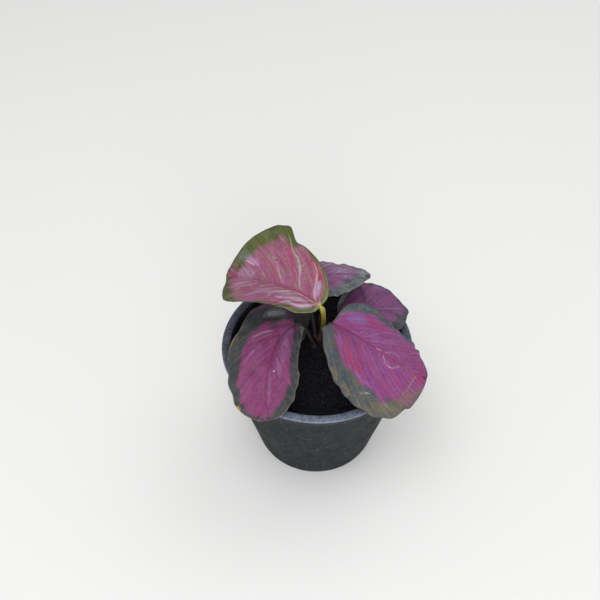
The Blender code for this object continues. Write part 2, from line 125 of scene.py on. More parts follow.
def add_node(
    tree: Tree,
    kind: str,
    inputs: dict[str | int, object] | None = None,
    output: str | None = None,
    **settings: object,
) -> Socket | None:
    """Add a node with its settings and links.

    Args:
        tree: The node tree that it goes into.
        kind: Blender's identifier of the node type.
        inputs: Values or output sockets, by the input's name or number.
        output: The name of the output to return. The first one in use is the default.
        **settings: Properties of the node.

    Returns:
        The output socket, or None where the node has none.
    """
    node = tree.nodes.new(kind)
    for name, value in settings.items():
        setattr(node, name, value)
    feed(node, inputs or {})
    found = [item for item in node.outputs if item.enabled and output in (None, item.name)]
    return found[0] if found else None


def paint(tree: Tree, ground: Socket | Colour, layers: Iterable[tuple[Socket, Socket | str]]) -> Socket:
    """Lay colours over a ground colour, each by its own amount.

    Args:
        tree: The material's node tree.
        ground: The lowest colour, as a socket or linear RGBA.
        layers: Pairs of an amount's socket and a colour, which is a socket or sRGB hex digits.

    Returns:
        The top colour's socket.
    """
    for amount, colour in layers:
        over = linear(colour) if isinstance(colour, str) else colour
        ground = add_node(
            tree, "ShaderNodeMix", {"Factor": amount, "A": ground, "B": over}, data_type="RGBA"
        )
    return ground


def new_material(name: str) -> tuple[Material, Tree, bpy.types.Node]:
    """Make a material.

    Args:
        name: What the real material is.

    Returns:
        The material, its node tree and its Principled shader.
    """
    made = bpy.data.materials.new(name)
    made.use_nodes = True
    return made, made.node_tree, made.node_tree.nodes["Principled BSDF"]


def add_piece(name: str, mesh: Mesh, slot: str, *nodes: str) -> bpy.types.Object:
    """Show a finished mesh as a piece of the object.

    Args:
        name: The piece's name.
        mesh: Its mesh, in metres and in place.
        slot: The name of a material slot. It is not used.
        *nodes: The CAD nodes that it stands for.

    Returns:
        The new object, which rides on the only body.
    """
    mesh.name = name
    piece = bpy.data.objects.new(name, mesh)
    bpy.context.scene.collection.objects.link(piece)
    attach(piece, BODY)
    if nodes:
        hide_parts(*nodes)
    log.info("%s: %d faces, for %s", name, len(mesh.polygons), ", ".join(nodes) or "no node")
    return piece


def mesh_from(name: str, points: Iterable, faces: list[tuple[int, ...]]) -> Mesh:
    """Make a smooth mesh.

    Args:
        name: The mesh's name.
        points: Its points, in millimetres.
        faces: The numbers of each face's corners, which wind outwards.

    Returns:
        The mesh, in metres.
    """
    mesh = bpy.data.meshes.new(name)
    mesh.from_pydata((np.asarray(points) * MM).tolist(), [], faces)
    mesh.shade_smooth()
    return mesh


def set_field(mesh: Mesh, name: str, values: Array) -> None:
    """Store one number at each point of a mesh, for its material to read."""
    field = mesh.attributes.new(name, "FLOAT", "POINT")
    field.data.foreach_set("value", np.asarray(values, np.float32))


def through(values: Triple, share: Array) -> Array:
    """Pass a smooth curve through three values.

    Args:
        values: What it is at the base, middle and tip.
        share: Where it is wanted, from 0 at the base to 1 at the tip.

    Returns:
        The curve's value at each share.
    """
    first, middle, last = values
    ahead = first * (1 - share) * (1 - 2 * share)
    return ahead + 4 * middle * share * (1 - share) + last * share * (2 * share - 1)


def smooth_step(low: float, high: float, value: Array) -> Array:
    """Rise smoothly from 0 at low to 1 at high."""
    share = np.clip((value - low) / (high - low), 0, 1)
    return share * share * (3 - 2 * share)


class Growth:
    """A geometry node tree with named inputs, run on one object at a time."""

    SOCKETS = {
        float: "NodeSocketFloat",
        int: "NodeSocketInt",
        bpy.types.Object: "NodeSocketObject",
        Material: "NodeSocketMaterial",
    }

    def __init__(self, name: str, inputs: dict[str, type]) -> None:
        """Make the tree's sockets.

        Args:
            name: The tree's name.
            inputs: The type of each input, by its name.
        """
        self.tree = bpy.data.node_groups.new(name, "GeometryNodeTree")
        interface = self.tree.interface
        interface.new_socket("Geometry", in_out="INPUT", socket_type="NodeSocketGeometry")
        for label, kind in (inputs | {"Finish": Material}).items():
            interface.new_socket(label, in_out="INPUT", socket_type=self.SOCKETS[kind])
        interface.new_socket("Geometry", in_out="OUTPUT", socket_type="NodeSocketGeometry")
        self.given = self.tree.nodes.new("NodeGroupInput").outputs
        self.add = partial(add_node, self.tree)

    def end_with(self, shape: Socket) -> None:
        """Close the tree: real geometry, smooth, with its finish.

        Args:
            shape: The geometry that the tree has made.
        """
        real = self.add("GeometryNodeRealizeInstances", {"Geometry": shape})
        soft = self.add("GeometryNodeSetShadeSmooth", {"Geometry": real})
        done = self.add("GeometryNodeSetMaterial", {"Geometry": soft, "Material": self.given["Finish"]})
        self.add("NodeGroupOutput", {"Geometry": done})

    def grow(self, mesh: Mesh, **values: object) -> Mesh:
        """Run the tree on a mesh.

        Args:
            mesh: The mesh that the tree starts from. It is removed afterwards.
            **values: A value for each named input, with _ for a space.

        Returns:
            The result as a plain mesh.
        """
        source = bpy.data.objects.new("source", mesh)
        bpy.context.scene.collection.objects.link(source)
        modifier = source.modifiers.new("growth", "NODES")
        modifier.node_group = self.tree
        for item in self.tree.interface.items_tree:
            key = item.name.replace(" ", "_")
            if item.in_out == "INPUT" and key in values:
                modifier[item.identifier] = values[key]
        bpy.context.view_layer.update()
        evaluated = source.evaluated_get(bpy.context.evaluated_depsgraph_get())
        made = bpy.data.meshes.new_from_object(evaluated)
        source.modifiers.remove(modifier)
        bpy.data.objects.remove(source, do_unlink=True)
        bpy.data.meshes.remove(mesh)
        return made


def stalk_growth() -> Growth:
    """Make the tree that sweeps a round section along a path.

    Returns:
        The tree. The field named thick holds the section's radius at each point of the path.
    """
    growth = Growth("stalk_growth", {"Sides": int})
    given, add = growth.given, growth.add
    path = add("GeometryNodeMeshToCurve", {"Mesh": given["Geometry"]})
    thick = add("GeometryNodeInputNamedAttribute", {"Name": "thick"}, data_type="FLOAT")
    ring = add("GeometryNodeCurvePrimitiveCircle", {"Resolution": given["Sides"], "Radius": 1.0})
    swept = add(
        "GeometryNodeCurveToMesh",
        {"Curve": path, "Profile Curve": ring, "Scale": thick, "Fill Caps": True},
    )
    growth.end_with(swept)
    return growth


def places_within_reach(growth: Growth) -> Socket:
    """Scatter random points over the faces of a tree's geometry that lie near enough to the Z axis.

    Args:
        growth: The tree, with inputs named Density, Seed and Reach.

    Returns:
        The points' socket.
    """
    given, add = growth.given, growth.add
    place = add("GeometryNodeInputPosition")
    flat = add("ShaderNodeVectorMath", {0: place, 1: (1.0, 1.0, 0.0)}, operation="MULTIPLY")
    away = add("ShaderNodeVectorMath", {0: flat}, output="Value", operation="LENGTH")
    near = add("FunctionNodeCompare", {"A": away, "B": given["Reach"]}, operation="LESS_THAN")
    return add(
        "GeometryNodeDistributePointsOnFaces",
        {"Mesh": given["Geometry"], "Selection": near, "Density": given["Density"], "Seed": given["Seed"]},
    )


def crumb_growth() -> Growth:
    """Make the tree that strews crumbs of random size and turn over a surface.

    Returns:
        The tree.
    """
    inputs = {"Density": float, "Seed": int, "Reach": float, "Smallest": float, "Largest": float}
    growth = Growth("crumb_growth", inputs | {"Crumb": bpy.types.Object})
    given, add = growth.given, growth.add
    places = places_within_reach(growth)
    crumb = add("GeometryNodeObjectInfo", {"Object": given["Crumb"]}, output="Geometry")
    turn = add(
        "FunctionNodeRandomValue",
        {"Min": (0.0, 0.0, 0.0), "Max": (math.tau, math.tau, math.tau), "Seed": given["Seed"]},
        data_type="FLOAT_VECTOR",
    )
    size = add(
        "FunctionNodeRandomValue",
        {"Min": given["Smallest"], "Max": given["Largest"], "Seed": given["Seed"]},
        data_type="FLOAT",
    )
    strewn = add(
        "GeometryNodeInstanceOnPoints",
        {"Points": places, "Instance": crumb, "Rotation": turn, "Scale": size},
    )
    growth.end_with(strewn)
    return growth


def fibre_growth() -> Growth:
    """Make the tree that strews bent fibres over a surface.

    Returns:
        The tree. A fibre tips by the random turn's first two angles, so it lies nearly flat.
    """
    inputs = {"Density": float, "Seed": int, "Reach": float}
    inputs |= {"Length": float, "Bend": float, "Thickness": float}
    growth = Growth("fibre_growth", inputs)
    given, add = growth.given, growth.add
    places = places_within_reach(growth)
    half = add(MATH, {0: given["Length"], 1: 0.5}, operation="MULTIPLY")
    other = add(MATH, {0: given["Length"], 1: -0.5}, operation="MULTIPLY")
    start = add("ShaderNodeCombineXYZ", {"X": other})
    middle = add("ShaderNodeCombineXYZ", {"Y": given["Bend"], "Z": given["Thickness"]})
    end = add("ShaderNodeCombineXYZ", {"X": half})
    strand = add(
        "GeometryNodeCurveQuadraticBezier",
        {"Resolution": 7, "Start": start, "Middle": middle, "End": end},
    )
    ring = add("GeometryNodeCurvePrimitiveCircle", {"Resolution": 4, "Radius": given["Thickness"]})
    solid = add("GeometryNodeCurveToMesh", {"Curve": strand, "Profile Curve": ring, "Fill Caps": True})
    turn = add(
        "FunctionNodeRandomValue",
        {"Min": (-0.35, -0.35, 0.0), "Max": (0.35, 0.35, math.tau), "Seed": given["Seed"]},
        data_type="FLOAT_VECTOR",
    )
    size = add(
        "FunctionNodeRandomValue",
        {"Min": 0.45, "Max": LONGEST_FIBRE, "Seed": given["Seed"]},
        data_type="FLOAT",
    )
    strewn = add(
        "GeometryNodeInstanceOnPoints",
        {"Points": places, "Instance": solid, "Rotation": turn, "Scale": size},
    )
    growth.end_with(strewn)
    return growth


def drain_growth() -> Growth:
    """Make the tree that cuts a ring of round holes through a floor.

    Returns:
        The tree.
    """
    growth = Growth(
        "drain_growth", {"Count": int, "Circle Radius": float, "Hole Radius": float, "Depth": float}
    )
    given, add = growth.given, growth.add
    circle = add(
        "GeometryNodeCurvePrimitiveCircle",
        {"Resolution": given["Count"], "Radius": given["Circle Radius"]},
    )
    places = add("GeometryNodeCurveToPoints", {"Curve": circle}, mode="EVALUATED")
    cutter = add(
        "GeometryNodeMeshCylinder",
        {"Vertices": 32, "Radius": given["Hole Radius"], "Depth": given["Depth"]},
    )
    holes = add("GeometryNodeInstanceOnPoints", {"Points": places, "Instance": cutter})
    holes = add("GeometryNodeRealizeInstances", {"Geometry": holes})
    cut = add(
        "GeometryNodeMeshBoolean",
        {"Mesh 1": given["Geometry"], "Mesh 2": holes},
        operation="DIFFERENCE",
        solver="EXACT",
    )
    growth.end_with(cut)
    return growth


@dataclass(frozen=True)
class Tone:
    """One area's colours: the usual one, dark and light streaks, scattered flecks and a broad tint."""

    base: str
    deep: str
    light: str
    fleck: str
    tint: str


@dataclass(frozen=True)
class LeafSkin:
    """The two faces of a blade: a painted upper side with a grey-green margin, and a purple underside.

    A calathea's blade is thin and matt, with a satin gloss where it bends towards the light. Its
    colour lies in streaks along the side veins, so the coloured middle ends in a feathered edge.
    """

    name: str
    centre: Tone
    margin: Tone
    rim: str
    midrib: str
    underside: str = "#43233f"
    underside_vein: str = "#6f5570"
    cream: str = "#cdbca4"
    green: str = "#5f6d2c"
    rose: str = "#9c2f58"
    lilac: str = "#b08fb0"
    brown: str = "#6f5f48"
    pale: str = "#bda9ba"
    dark: str = "#23271f"
    feather: float = 1.6
    softness: float = 0.7
    rim_strength: float = 0.6
    midrib_strength: float = 0.8
    midrib_start: float = -1.0
    midrib_end: float = 1.1
    streakiness: float = 0.75

    # Sizes in millimetres. A leaf's finest streaks and its cells are finer than this in life,
    # and are drawn coarser because a render of the whole plant can't hold them.
    FINE_STREAK = 0.65
    BROAD_STREAK = 2.2
    TINT_STREAK = 5.0
    BLOTCH = 6.0
    MOTTLE = 2.2
    CELL = 0.6
    SIDE_VEIN_SPACING = 2.3
    MAP_SIZE = 100  # The side of the square that the flat UV map spans.

    STREAK_STRETCH = 0.09  # How much shorter the noise is measured along a streak than across it.
    VEIN_LINE = 0.14  # Half the width of a side vein's line, as a share of the veins' spacing.

    def patterns(self, tree: Tree) -> dict[str, Socket]:
        """Add the fields of the mesh and the noises that every layer of the skin shares.

        Args:
            tree: The material's node tree.

        Returns:
            The output sockets, by name. Each noise runs from 0 to 1, and the one named beside says
            how far off the nearest side vein is, as a share of the veins' spacing.
        """
        add = partial(add_node, tree)
        names = ("vein", "lateral", "half", "edge", "core", "share", *(mark.value for mark in Mark))
        found = {name: add("ShaderNodeAttribute", output="Fac", attribute_name=name) for name in names}
        stretched = add(MATH, {0: found["lateral"], 1: self.STREAK_STRETCH}, operation="MULTIPLY")
        grain = add("ShaderNodeCombineXYZ", {"X": found["vein"], "Y": stretched, "Z": found["half"]})
        flat = add("ShaderNodeUVMap", uv_map="flat")
        for name, place, scale, detail in (
            ("fine", grain, 1 / self.FINE_STREAK, 3.0),
            ("broad", grain, 1 / self.BROAD_STREAK, 2.0),
            ("patch", grain, 1 / self.TINT_STREAK, 2.0),
            ("blotch", flat, self.MAP_SIZE / self.BLOTCH, 3.0),
            ("mottle", flat, self.MAP_SIZE / self.MOTTLE, 3.0),
            ("cell", flat, self.MAP_SIZE / self.CELL, 2.0),
        ):
            raw = add("ShaderNodeTexNoise", {"Vector": place, "Scale": scale, "Detail": detail})
            found[name] = add(RANGE, {"Value": raw, "From Min": 0.34, "From Max": 0.66})
        order = add(MATH, {0: found["vein"], 1: 1 / self.SIDE_VEIN_SPACING}, operation="MULTIPLY")
        found["beside"] = add(MATH, {0: order, 1: 0.5}, operation="PINGPONG")
        return found

    def inside(self, tree: Tree, found: dict[str, Socket]) -> Socket:
        """Find how much of the middle's colour a place has, up to a border drawn out in streaks.

        Args:
            tree: The material's node tree.
            found: The fields and noises.

        Returns:
            A socket that runs from 0 in the margin to 1 in the middle.
        """
        add = partial(add_node, tree)
        border = found["core"]
        for name, reach in (("fine", 0.5), ("broad", 0.65), ("blotch", 0.5)):
            way = self.feather * reach
            shift = add(RANGE, {"Value": found[name], "To Min": -way, "To Max": way})
            border = add(MATH, {0: border, 1: shift}, operation="ADD")
        return add(
            RANGE,
            {"Value": border, "From Min": -self.softness, "From Max": self.softness},
            interpolation_type="SMOOTHSTEP",
        )

    def streaked(self, tree: Tree, tone: Tone, found: dict[str, Socket]) -> Socket:
        """Mix one area's colour with its streaks and flecks.

        Args:
            tree: The material's node tree.
            tone: The area's colours.
            found: The fields and noises.

        Returns:
            The colour's socket.
        """
        add = partial(add_node, tree)
        broken = add(RANGE, {"Value": found["mottle"], "To Min": 0.15, "To Max": self.streakiness})
        thin = add(RANGE, {"Value": found["fine"], "From Min": 0.4})
        thin = add(MATH, {0: thin, 1: broken}, operation="MULTIPLY")
        low = add(RANGE, {"Value": found["fine"], "From Min": 0.45, "From Max": 0.0})
        low = add(MATH, {0: low, 1: broken}, operation="MULTIPLY")
        cloud = add(MATH, {0: found["broad"], 1: found["mottle"]}, operation="ADD")
        cloud = add(RANGE, {"Value": cloud, "From Min": 0.3, "From Max": 1.3})
        tint = add(RANGE, {"Value": found["patch"], "From Min": 0.35, "To Max": 0.8})
        fleck = add(MATH, {0: found["blotch"], 1: found["cell"]}, operation="MULTIPLY")
        fleck = add(RANGE, {"Value": fleck, "From Min": 0.2, "From Max": 0.65, "To Max": 0.75})
        layers = (
            (cloud, tone.base),
            (tint, tone.tint),
            (low, tone.deep),
            (thin, tone.light),
            (fleck, tone.fleck),
        )
        return paint(tree, linear(tone.deep), layers)

    def upper(self) -> Material:
        """Make the finish of the upper side.

        Returns:
            The material. From below upwards it has the margin's colour, the middle's, the worn rim, the
            drawn marks, some of them painted highlights, painted light and painted shade, and the midrib,
            all broken up by the leaf's cells and side veins.
        """
        made, tree, shader = new_material(self.name + "_upper")
        add = partial(add_node, tree)
        found = self.patterns(tree)
        layers = [(self.inside(tree, found), self.streaked(tree, self.centre, found))]
        rim = add(RANGE, {"Value": found["edge"], "From Min": 0.55, "From Max": 0.2})
        worn = add(RANGE, {"Value": found["blotch"], "To Min": 0.2, "To Max": self.rim_strength * 1.4})
        layers.append((add(MATH, {0: rim, 1: worn}, operation="MULTIPLY"), self.rim))
        ragged = add(MATH, {0: found["fine"], 1: found["mottle"]}, operation="ADD")
        ragged = add(RANGE, {"Value": ragged, "From Max": 2.0, "To Min": 0.5, "To Max": 1.35})
        for mark in Mark:
            amount = add(MATH, {0: found[mark.value], 1: ragged}, operation="MULTIPLY")
            amount = add(RANGE, {"Value": amount, "From Min": 0.05, "From Max": 1.0})
            layers.append((amount, getattr(self, mark.value)))
        line = add(RANGE, {"Value": found["beside"], "From Max": self.VEIN_LINE, "To Min": 0.8})
        width = add(RANGE, {"Value": found["share"], "To Min": 0.6, "To Max": 0.2})
        rib = add(MATH, {0: found["lateral"], 1: width}, operation="DIVIDE")
        rib = add(RANGE, {"Value": rib, "From Min": 1.3, "From Max": 0.5, "To Max": self.midrib_strength})
        fade = add(
            RANGE,
            {"Value": found["share"], "From Min": self.midrib_end, "From Max": self.midrib_end - 0.2},
        )
        rise = {"From Min": self.midrib_start, "From Max": self.midrib_start + 0.03}
        rise = add(RANGE, {"Value": found["share"]} | rise)
        fade = add(MATH, {0: fade, 1: rise}, operation="MULTIPLY")
        layers.append((add(MATH, {0: rib, 1: fade}, operation="MULTIPLY"), self.midrib))
        colour = paint(tree, self.streaked(tree, self.margin, found), layers)
        speckle = add(RANGE, {"Value": found["cell"], "To Min": 0.78, "To Max": 1.12})
        speckle = add(MATH, {0: speckle, 1: line}, operation="MULTIPLY")
        speckle = add("ShaderNodeCombineColor", {"Red": speckle, "Green": speckle, "Blue": speckle})
        colour = add(
            "ShaderNodeMix",
            {"Factor": 1.0, "A": colour, "B": speckle},
            data_type="RGBA",
            blend_type="MULTIPLY",
        )
        gloss = add(RANGE, {"Value": found["fine"], "To Min": 0.42, "To Max": 0.6})
        height = add(MATH, {0: found["fine"], 1: found["cell"]}, operation="ADD")
        bump = add("ShaderNodeBump", {"Strength": 0.45, "Distance": 0.0001, "Height": height})
        feed(shader, {"Base Color": colour, "Roughness": gloss, "Normal": bump})
        # Watery tissue under a thin wax: its colour shows first, with a soft sheen over the veins.
        feed(shader, {"IOR": 1.40, "Specular IOR Level": 0.4})
        return made

    def lower(self) -> Material:
        """Make the finish of the underside, which has no wax and looks matt.

        Returns:
            The material: purple, with paler veins.
        """
        made, tree, shader = new_material(self.name + "_lower")
        add = partial(add_node, tree)
        found = self.patterns(tree)
        line = add(
            RANGE,
            {"Value": found["beside"], "From Min": self.VEIN_LINE, "From Max": 0.0, "To Max": 0.5},
        )
        rib = add(RANGE, {"Value": found["lateral"], "From Min": 1.1, "From Max": 0.4})
        vein = add(MATH, {0: line, 1: rib}, operation="MAXIMUM")
        streak = add(RANGE, {"Value": found["fine"], "To Max": 0.35})
        layers = ((streak, self.underside_vein), (vein, self.underside_vein))
        colour = paint(tree, linear(self.underside), layers)
        bump = add("ShaderNodeBump", {"Strength": 0.3, "Distance": 0.0001, "Height": found["fine"]})
        feed(shader, {"Base Color": colour, "Roughness": 0.6, "IOR": 1.40, "Normal": bump})
        return made


@dataclass(frozen=True)
class StalkFinish:
    """A fleshy stalk, smooth and slightly glossy, with fine ribs along it and a darker foot."""

    name: str
    foot: str
    middle: str
    top: str
    foot_share: float = 0.35

    RIB = 0.35  # Millimetres from rib to rib, coarser than the finest ribs of a real stalk.
    RIB_STRETCH = 0.12

    def material(self) -> Material:
        """Make the stalk's finish, whose wet tissue gives it a soft highlight along its length.

        Returns:
            The material.
        """
        made, tree, shader = new_material(self.name)
        add = partial(add_node, tree)
        share = add("ShaderNodeAttribute", output="Fac", attribute_name="share")
        place = add("ShaderNodeTexCoord", output="Object")
        ribs = add("ShaderNodeMapping", {"Vector": place, "Scale": (1.0, 1.0, self.RIB_STRETCH)})
        ribs = add("ShaderNodeTexNoise", {"Vector": ribs, "Scale": 1000 / self.RIB, "Detail": 2.0})
        low = add(RANGE, {"Value": share, "From Min": self.foot_share * 0.4, "From Max": self.foot_share})
        high = add(RANGE, {"Value": share, "From Min": self.foot_share, "From Max": 0.9})
        shade = add(RANGE, {"Value": ribs, "From Min": 0.3, "From Max": 0.7, "To Max": 0.35})
        layers = ((low, self.middle), (high, self.top), (shade, self.foot))
        colour = paint(tree, linear(self.foot), layers)
        bump = add("ShaderNodeBump", {"Strength": 0.4, "Distance": 0.0002, "Height": ribs})
        feed(shader, {"Base Color": colour, "Roughness": 0.45, "IOR": 1.42, "Normal": bump})
        return made


@dataclass(frozen=True)
class PotPlastic:
    """Moulded recycled polypropylene: black and matt, with dull flow marks, dust and scuffed edges.

    Specks of dust lie on it, a dull film of dried water clouds it, and the field named wear says where its
    surface has faded. A second field says where its edges are worn pale by rubbing, and along the lip's
    outer rounded corner it paints a highlight.
    """

    # Painted shade: body and film are darker than the plastic and its film are, so the whole pot looks
    # shaded.
    body: str = "#0e0f0f"
    cloud: str = "#181917"
    worn: str = "#7f889e"
    grime: str = "#1a1c20"
    # The pale of edges worn by rubbing, and of the painted highlight along the lip's outer corner.
    scuff: str = "#868e9c"
    dust: str = "#6a6a65"
    haze: str = "#42433f"
    film: str = "#30312b"

    # Sizes in millimetres. The grain and the specks are finer in life, and are drawn coarser
    # because a render of the whole pot can't hold them.
    FLOW = 12.0
    GRAIN = 0.6
    DUST = 2.6
    HAZE = 1.0
    MOTTLE = 2.4

    DUST_EMPTY = 0.5
    DUST_LARGEST = 0.24
    HAZE_EMPTY = 0.0
    HAZE_LARGEST = 0.6

    def specks(self, tree: Tree, place: Socket, apart: float, empty: float, largest: float) -> Socket:
        """Scatter small round specks, one at most to a cell.

        Args:
            tree: The material's node tree.
            place: The coordinates that they are laid out on.
            apart: The size of a cell in millimetres.
            empty: The share of cells that stay empty.
            largest: The largest speck's radius, as a share of a cell.

        Returns:
            A socket that runs from 0 between the specks to 1 in their middles.
        """
        add = partial(add_node, tree)
        spots = {"Vector": place, "Scale": 1000 / apart}
        away = add("ShaderNodeTexVoronoi", spots, output="Distance")
        draw = add("ShaderNodeTexVoronoi", spots, output="Color")
        draw = add("ShaderNodeSeparateColor", {"Color": draw}, output="Red")
        size = add(RANGE, {"Value": draw, "From Min": empty, "To Max": largest})
        depth = add(MATH, {0: size, 1: away}, operation="SUBTRACT")
        return add(RANGE, {"Value": depth, "From Max": 0.1})

    def material(self) -> Material:
        """Make the pot's finish.

        Returns:
            The material.
        """
        made, tree, shader = new_material("recycled_polypropylene")
        add = partial(add_node, tree)
        place = add("ShaderNodeTexCoord", output="Object")
        noises = {}
        for name, size, detail, low in (
            ("flow", self.FLOW, 4.0, 0.3),
            ("grain", self.GRAIN, 2.0, 0.36),
            ("mottle", self.MOTTLE, 3.0, 0.36),
            ("patch", self.FLOW * 0.8, 2.0, 0.28),
        ):
            raw = add("ShaderNodeTexNoise", {"Vector": place, "Scale": 1000 / size, "Detail": detail})
            noises[name] = add(RANGE, {"Value": raw, "From Min": low, "From Max": 1 - low})
        wear = add("ShaderNodeAttribute", output="Fac", attribute_name="wear")
        # This field marks edges worn pale by rubbing, and a painted highlight along the lip's outer rounded
        # corner.
        edge = add("ShaderNodeAttribute", output="Fac", attribute_name="scuff")
        speck = self.specks(tree, place, self.DUST, self.DUST_EMPTY, self.DUST_LARGEST)
        haze = self.specks(tree, place, self.HAZE, self.HAZE_EMPTY, self.HAZE_LARGEST)
        haze = add(MATH, {0: haze, 1: noises["patch"]}, operation="MULTIPLY")
        film = add(RANGE, {"Value": noises["mottle"], "To Min": 0.25})
        film = add(MATH, {0: film, 1: noises["patch"]}, operation="MULTIPLY")
        film = add(RANGE, {"Value": film, "To Max": 0.35})
        worn = add(RANGE, {"Value": noises["mottle"], "To Min": 0.42, "To Max": 1.05})
        worn = add(MATH, {0: worn, 1: wear}, operation="MULTIPLY")
        dirty = add(MATH, {0: noises["mottle"], 1: noises["grain"]}, operation="MULTIPLY")
        dirty = add(RANGE, {"Value": dirty, "From Min": 0.35, "From Max": 0.6, "To Max": 0.75})
        dirty = add(MATH, {0: dirty, 1: wear}, operation="MULTIPLY")
        broken = add(RANGE, {"Value": noises["grain"], "To Min": 0.35, "To Max": 1.1})
        edge = add(MATH, {0: edge, 1: broken}, operation="MULTIPLY")
        layers = (
            (noises["flow"], self.cloud),
            (film, self.film),
            (worn, self.worn),
            (dirty, self.grime),
            (edge, self.scuff),
            (haze, self.haze),
            (speck, self.dust),
        )
        colour = paint(tree, linear(self.body), layers)
        gloss = add(RANGE, {"Value": noises["flow"], "To Min": 0.6, "To Max": 0.8})
        height = add(MATH, {0: noises["grain"], 1: speck}, operation="ADD")
        bump = add("ShaderNodeBump", {"Strength": 0.35, "Distance": 0.00015, "Height": height})
        feed(shader, {"Base Color": colour, "Roughness": gloss, "Normal": bump})
        # The fine roughness of recycled plastic scatters its highlight, so it looks black and dull.
        feed(shader, {"IOR": 1.49, "Specular IOR Level": 0.12})
        return made


@dataclass(frozen=True)
class SoilMix:
    """Damp peat and coir: almost black, dull, with brown and grey grains."""

    name: str = "damp_peat_mix"
    peat: str = "#0c0d10"
    grain: str = "#26282c"

    GRAIN = 0.7  # Millimetres, coarser than the dust of real peat.

    def material(self) -> Material:
        """Make the soil's finish. Its damp pores swallow light, so it looks almost black.

        Returns:
            The material.
        """
        made, tree, shader = new_material(self.name)
        add = partial(add_node, tree)
        place = add("ShaderNodeTexCoord", output="Object")
        grain = add("ShaderNodeTexNoise", {"Vector": place, "Scale": 1000 / self.GRAIN, "Detail": 4.0})
        amount = add(RANGE, {"Value": grain, "From Min": 0.48, "From Max": 0.72})
        colour = paint(tree, linear(self.peat), ((amount, self.grain),))
        bump = add("ShaderNodeBump", {"Strength": 0.8, "Distance": 0.0004, "Height": grain})
        feed(shader, {"Base Color": colour, "Normal": bump})
        feed(shader, {"Roughness": 0.95, "Specular IOR Level": 0.15})
        return made


@dataclass(frozen=True)
class Streak:
    """A mark on a blade along a smooth line, with a width in millimetres.

    A place on the line is (share of the length, across the blade), and across runs from -1 at the
    right margin to 1 at the left one.
    """

    mark: Mark
    width: float
    strength: float
    path: tuple[Pair, ...]

    STEPS = 8

    def line(self) -> tuple[Array, Array]:
        """Bend a smooth line through the path's places.

        Returns:
            The shares and the acrosses of points along it.
        """
        knots = np.array(self.path)
        knots = np.vstack([2 * knots[0] - knots[1], knots, 2 * knots[-1] - knots[-2]])
        points = [knots[1]]
        for before, start, end, after in zip(knots, knots[1:], knots[2:], knots[3:]):
            for step in range(1, self.STEPS + 1):
                t = step / self.STEPS
                bend = (2 * before - 5 * start + 4 * end - after) * t**2
                bend = bend + (3 * start - before - 3 * end + after) * t**3
                points.append((2 * start + (end - before) * t + bend) / 2)
        share, across = np.array(points).T
        return np.clip(share, 0, 1), np.clip(across, -1, 1)


def streaks(**rows: tuple[tuple, ...]) -> tuple[Streak, ...]:
    """Make the marks of one blade.

    Args:
        **rows: For each colour of Mark, rows of a width, a strength and the places of a path.

    Returns:
        The streaks.
    """
    return tuple(
        Streak(Mark(colour), width, strength, tuple(path))
        for colour, lines in rows.items()
        for width, strength, *path in lines
    )


